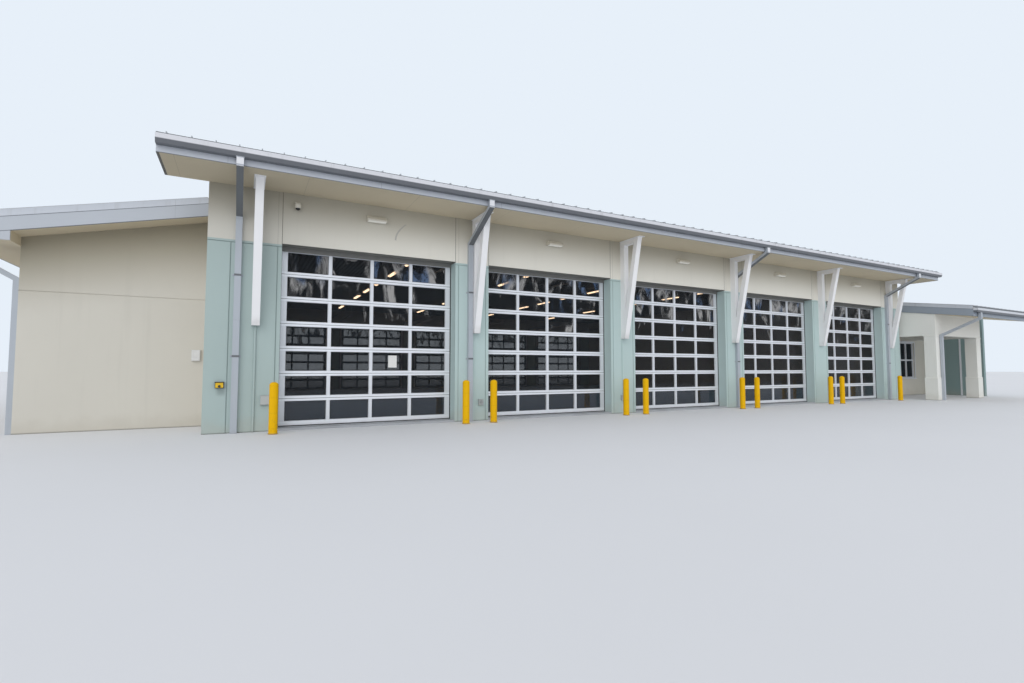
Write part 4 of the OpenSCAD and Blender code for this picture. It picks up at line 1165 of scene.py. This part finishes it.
pier_paint = wall_paint("pier stucco", CREAM, TEAL, under_soffit, marks=pier_marks)
left_eave_paint = eave_paint("left eave boards", (0.455, 0.485, 0.53), in_left_eave, left_depth)
porch_paint = wall_paint("porch stucco", (0.76, 0.76, 0.72))
seam_metal = sheet_metal("seam metal", ROOF_METAL, 0.36, 0.2, lap=None)
frame_metal = door_metal()
bracket_paint = painted_steel("white bracket paint", (0.86, 0.86, 0.87), foot=BRACKET_Z)
sash_paint = painted_steel("window sash paint", (0.70, 0.72, 0.76), 0.05)
bollard_yellow = bollard_paint()
housing = plastic("pale lamp housing", (0.62, 0.59, 0.51), 0.35)
trim_paint = sheet_metal("trim metal", PALE_METAL)
# the drip edge's dark colour is painted shade between the gutter lip and the roof
drip_shade_paint = sheet_metal("drip edge dark as painted shade", (0.13, 0.14, 0.155), 0.45)
bead_paint = sheet_metal("gutter bead metal", (0.62, 0.635, 0.67), 0.34, lap=2 * SHEET_L)
band_paint = sheet_metal("downspout band metal", (0.39, 0.42, 0.465), 0.36, lap=None)
galvanised = sheet_metal("galvanised steel", (0.42, 0.44, 0.46), 0.42, 0.6, lap=None, dirt=0.1)
rubber = plastic("black rubber", (0.015, 0.015, 0.016), 0.6)
# a seal whose dark grey also stands as painted shade over the door's top rail
flap_seal_shade = plastic("grey flap seal as painted shade", (0.185, 0.185, 0.175), 0.6)
cover_plastic = plastic("pale outlet cover", (0.46, 0.48, 0.475), 0.4)
lens = plastic("lamp diffuser", (0.80, 0.79, 0.74), 0.3, glow=(0.10, 0.098, 0.09))
warm_lens = plastic("warm ceiling diffuser", (0.80, 0.72, 0.6), 0.3, glow=(4.4, 3.1, 2.0))
white_plastic = plastic("white plastic", (0.72, 0.72, 0.71), 0.35)
black_plastic = plastic("black plastic", (0.016, 0.016, 0.018), 0.3)
dome_plastic = plastic("smoked dome", (0.010, 0.010, 0.012), 0.08)
yellow_plastic = plastic("yellow plate", (0.80, 0.50, 0.01), 0.35)
paper = plastic("plain paper", (0.75, 0.75, 0.73), 0.8)

NODE_FINISHES = (
    ("front_piers rear_piers", pier_paint),
    ("front_door_headers rear_door_headers",
     wall_paint("header stucco", CREAM, None, under_soffit, marks=header_marks)),
    ("hall_gable_walls", wall_paint("gable stucco", WING_CREAM)),
    ("left_wing_end_walls left_wing_side_wall",
     wall_paint("left wing stucco", WING_CREAM, None, under_left_eave, 0.72, 1.9)),
    ("right_wing_window_walls",
     wall_paint("right wing stucco", WING_CREAM, None, under_right_eave, 0.4, 0.9)),
    ("porch_columns porch_beams", porch_paint),
    # teal darkened as painted shade under the porch roof
    ("party_wall", wall_paint("party wall stucco in painted shade", (0.23, 0.32, 0.32))),
    ("front_canopy rear_canopy", canopy_paint()),
    ("front_roof rear_roof", roof_metal("hall roof sheet", 0, 1, hall_depth)),
    ("left_wing_roof", roof_metal("left wing roof sheet", 1, 0, left_depth)),
    ("right_wing_roof", roof_metal("right wing roof sheet", 0, 1, right_depth)),
    ("ridge_cap", seam_metal),
    ("left_wing_rakes left_wing_eave", left_eave_paint),
    ("right_wing_eaves", eave_paint("right eave boards", PALE_METAL, in_right_eave, right_depth)),
    ("porch_fascia porch_rakes",
     eave_paint("porch eave boards", (0.29, 0.33, 0.38), in_porch_eave, right_depth)),
    ("front_gutter rear_gutter",
     sheet_metal("hall gutter metal", (0.66, 0.665, 0.70), 0.34, lap=2 * SHEET_L, marks=hall_belly_shades)),
    ("wing_gutters",
     sheet_metal("wing gutter metal", (0.60, 0.62, 0.66), 0.34, lap=2 * SHEET_L, marks=wing_belly_shades)),
    ("front_downspouts rear_downspouts wing_downspouts",
     sheet_metal("downspout metal", (0.41, 0.445, 0.49), 0.36, lap=None, dirt=0.18, marks=leader_shade_and_highlight)),
    ("front_doors rear_doors", frame_metal),
    ("front_door_glass", tinted_glass("tinted door glass", 0.37, sky_reflection=0.85)),
    ("rear_door_glass", tinted_glass("tinted rear door glass", 0.46, sky_reflection=0.6)),
    ("wing_window_glass", tinted_glass("tinted window glass", 0.85)),
    ("front_brackets rear_brackets", bracket_paint),
    ("wing_windows", sash_paint),
    ("bollards", bollard_yellow),
    ("hall_floor wing_floors", slab()),
    ("hall_ceiling", deck()),
    ("wall_lights ceiling_lights security_camera", housing),
    ("wall_boxes", box_shades()),
)
for names, material in NODE_FINISHES:
    for name in names.split():
        mesh = nodes[name].data
        mesh.materials.clear()
        mesh.materials.append(material)


# ---- new pieces
def added(name, data):
    """An object for a mesh, camera or lamp, at the origin."""
    made = bpy.data.objects.new(name, data)
    bpy.context.scene.collection.objects.link(made)
    return made


def mesh_of(name, shape, material):
    """Puts a shape's arrays into a mesh, smooth but for its edges sharper than 32 degrees."""
    mesh = bpy.data.meshes.new(name)
    mesh.vertices.add(len(shape.points))
    mesh.vertices.foreach_set("co", shape.points.astype(np.float32).ravel())
    mesh.loops.add(len(shape.corners))
    mesh.loops.foreach_set("vertex_index", shape.corners)
    mesh.polygons.add(len(shape.counts))
    mesh.polygons.foreach_set("loop_start", (np.cumsum(shape.counts) - shape.counts).astype(np.int32))
    mesh.polygons.foreach_set("use_smooth", np.ones(len(shape.counts), bool))
    mesh.update(calc_edges=True)
    mesh.set_sharp_from_angle(angle=math.radians(32))
    mesh.materials.append(material)
    return mesh


def piece(name, shape, material):
    """Adds a shape and fixes it to the building."""
    made = added(name, mesh_of(name, shape, material))
    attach(made, "root")


piece("hall_roof_seams", hall_seams(), seam_metal)
piece("wing_roof_seams", wing_seams(), seam_metal)
piece("hall_roof_trims", roof_trims(), trim_paint)
piece("wing_roof_trims", wing_trims(), trim_paint)
piece("roof_drip_edges", drip_edges(), drip_shade_paint)
piece("eave_return_boards", eave_returns(), left_eave_paint)
piece("roof_flashings", flashings(), seam_metal)
piece("gutter_beads_and_hangers", gutter_fittings(), bead_paint)
piece("downspout_bands", spout_fittings(), band_paint)
piece("bracket_plates", bracket_fittings(), bracket_paint)
piece("door_glazing_beads", door_panes(BEAD), frame_metal)
piece("door_gaskets", door_panes(GASKET), rubber)
piece("door_seals", door_seals(), rubber)
piece("door_head_seals", door_head_seals(), flap_seal_shade)
piece("door_hinges", door_hinges(), galvanised)
piece("door_tracks", door_tracks(), galvanised)
piece("window_glazing_beads", window_beads(BEAD), sash_paint)
piece("window_gaskets", window_beads(GASKET), rubber)
piece("window_casings", window_casings(), sash_paint)
piece("wall_light_lenses", wall_light_lenses(), lens)
piece("wall_light_bands", wall_light_bands(), housing)
piece("ceiling_light_lenses", ceiling_light_lenses(), warm_lens)
piece("bollard_rings", bollard_rings(), bollard_yellow)
piece("wall_conduits", conduits(), pier_paint)
piece("call_box_plate", call_box_face(), yellow_plastic)
piece("call_box_button", call_box_button(), black_plastic)
piece("outlet_lid", outlet_lid(), cover_plastic)
piece("hose_taps", hose_taps(), galvanised)
piece("meter_box_door", meter_door(), white_plastic)
piece("camera_dome", camera_dome(), dome_plastic)
piece("camera_collar", camera_collar(), housing)
piece("column_trims", column_trims(), porch_paint)
piece("party_wall_trims", party_wall_trims(), sash_paint)
piece("blank_sheet", blank_sheet(), paper)


# ---- floor, light and camera
FLOOR_HALF, FLOOR_SQUARES = 400.0, 32
EYE = (-13.3625, -24.917, 1.382)
YAW, PITCH = 27.837, 3.15
SENSOR, FOCAL_PX, PHOTO_W = 36.0, 509.1, 1024.0
SKY_LIGHT, SKY_SHOWN = (0.90, 0.94, 1.0, 1.0), (0.80, 0.87, 0.95, 1.0)


def ground():
    """A level grid whose squares widen outwards: x = sign(u) u^2 R, so it is fine near the building."""
    u = np.linspace(-1, 1, FLOOR_SQUARES + 1)
    far = np.sign(u) * u ** 2 * FLOOR_HALF
    return Shape(rows(far, far, -0.002), quads(FLOOR_SQUARES).ravel(), np.full(FLOOR_SQUARES ** 2, 4))


def ground_finish():
    """Plain pale floor, very slightly clouded."""
    f = Finish("pale studio floor")
    return f.close(f.toned((0.74, 0.745, 0.765), 0.97 + 0.06 * f.noise(0.15, 3.0)), 0.8)


def aim(obj, yaw, pitch):
    """Turns a camera or lamp: yaw to the right of +Y and pitch above the horizon, in degrees."""
    obj.rotation_euler = (math.radians(90 + pitch), 0.0, math.radians(-yaw))


floor = added("floor", mesh_of("floor", ground(), ground_finish()))

camera = added("camera", bpy.data.cameras.new("camera"))
camera.location = EYE
camera.data.sensor_width = SENSOR
camera.data.lens = FOCAL_PX * SENSOR / PHOTO_W
camera.data.clip_end = 900.0
aim(camera, YAW, PITCH)
bpy.context.scene.camera = camera

sun = added("soft_key", bpy.data.lights.new("soft_key", "SUN"))
sun.data.energy = 1.05
sun.data.angle = math.radians(60)
sun.data.color = (1.0, 0.985, 0.955)
aim(sun, 30, -28)

world = bpy.data.worlds.new("studio")
bpy.context.scene.world = world
sky = Nodes(world)
camera_ray, glossy_ray, clear_ray = (
    sky.node("LightPath", out=f"Is {kind} Ray") for kind in ("Camera", "Glossy", "Transmission")
)
lit = sky.node("Background", {}, {0: SKY_LIGHT, 1: 0.82})
shown = sky.node("Background", {}, {0: SKY_SHOWN})
both = sky.node("MixShader", {}, {0: camera_ray.most(glossy_ray).most(clear_ray), 1: lit, 2: shown})
sky.node("OutputWorld", {}, {0: both}, None)

bpy.context.scene.view_settings.view_transform = "Standard"
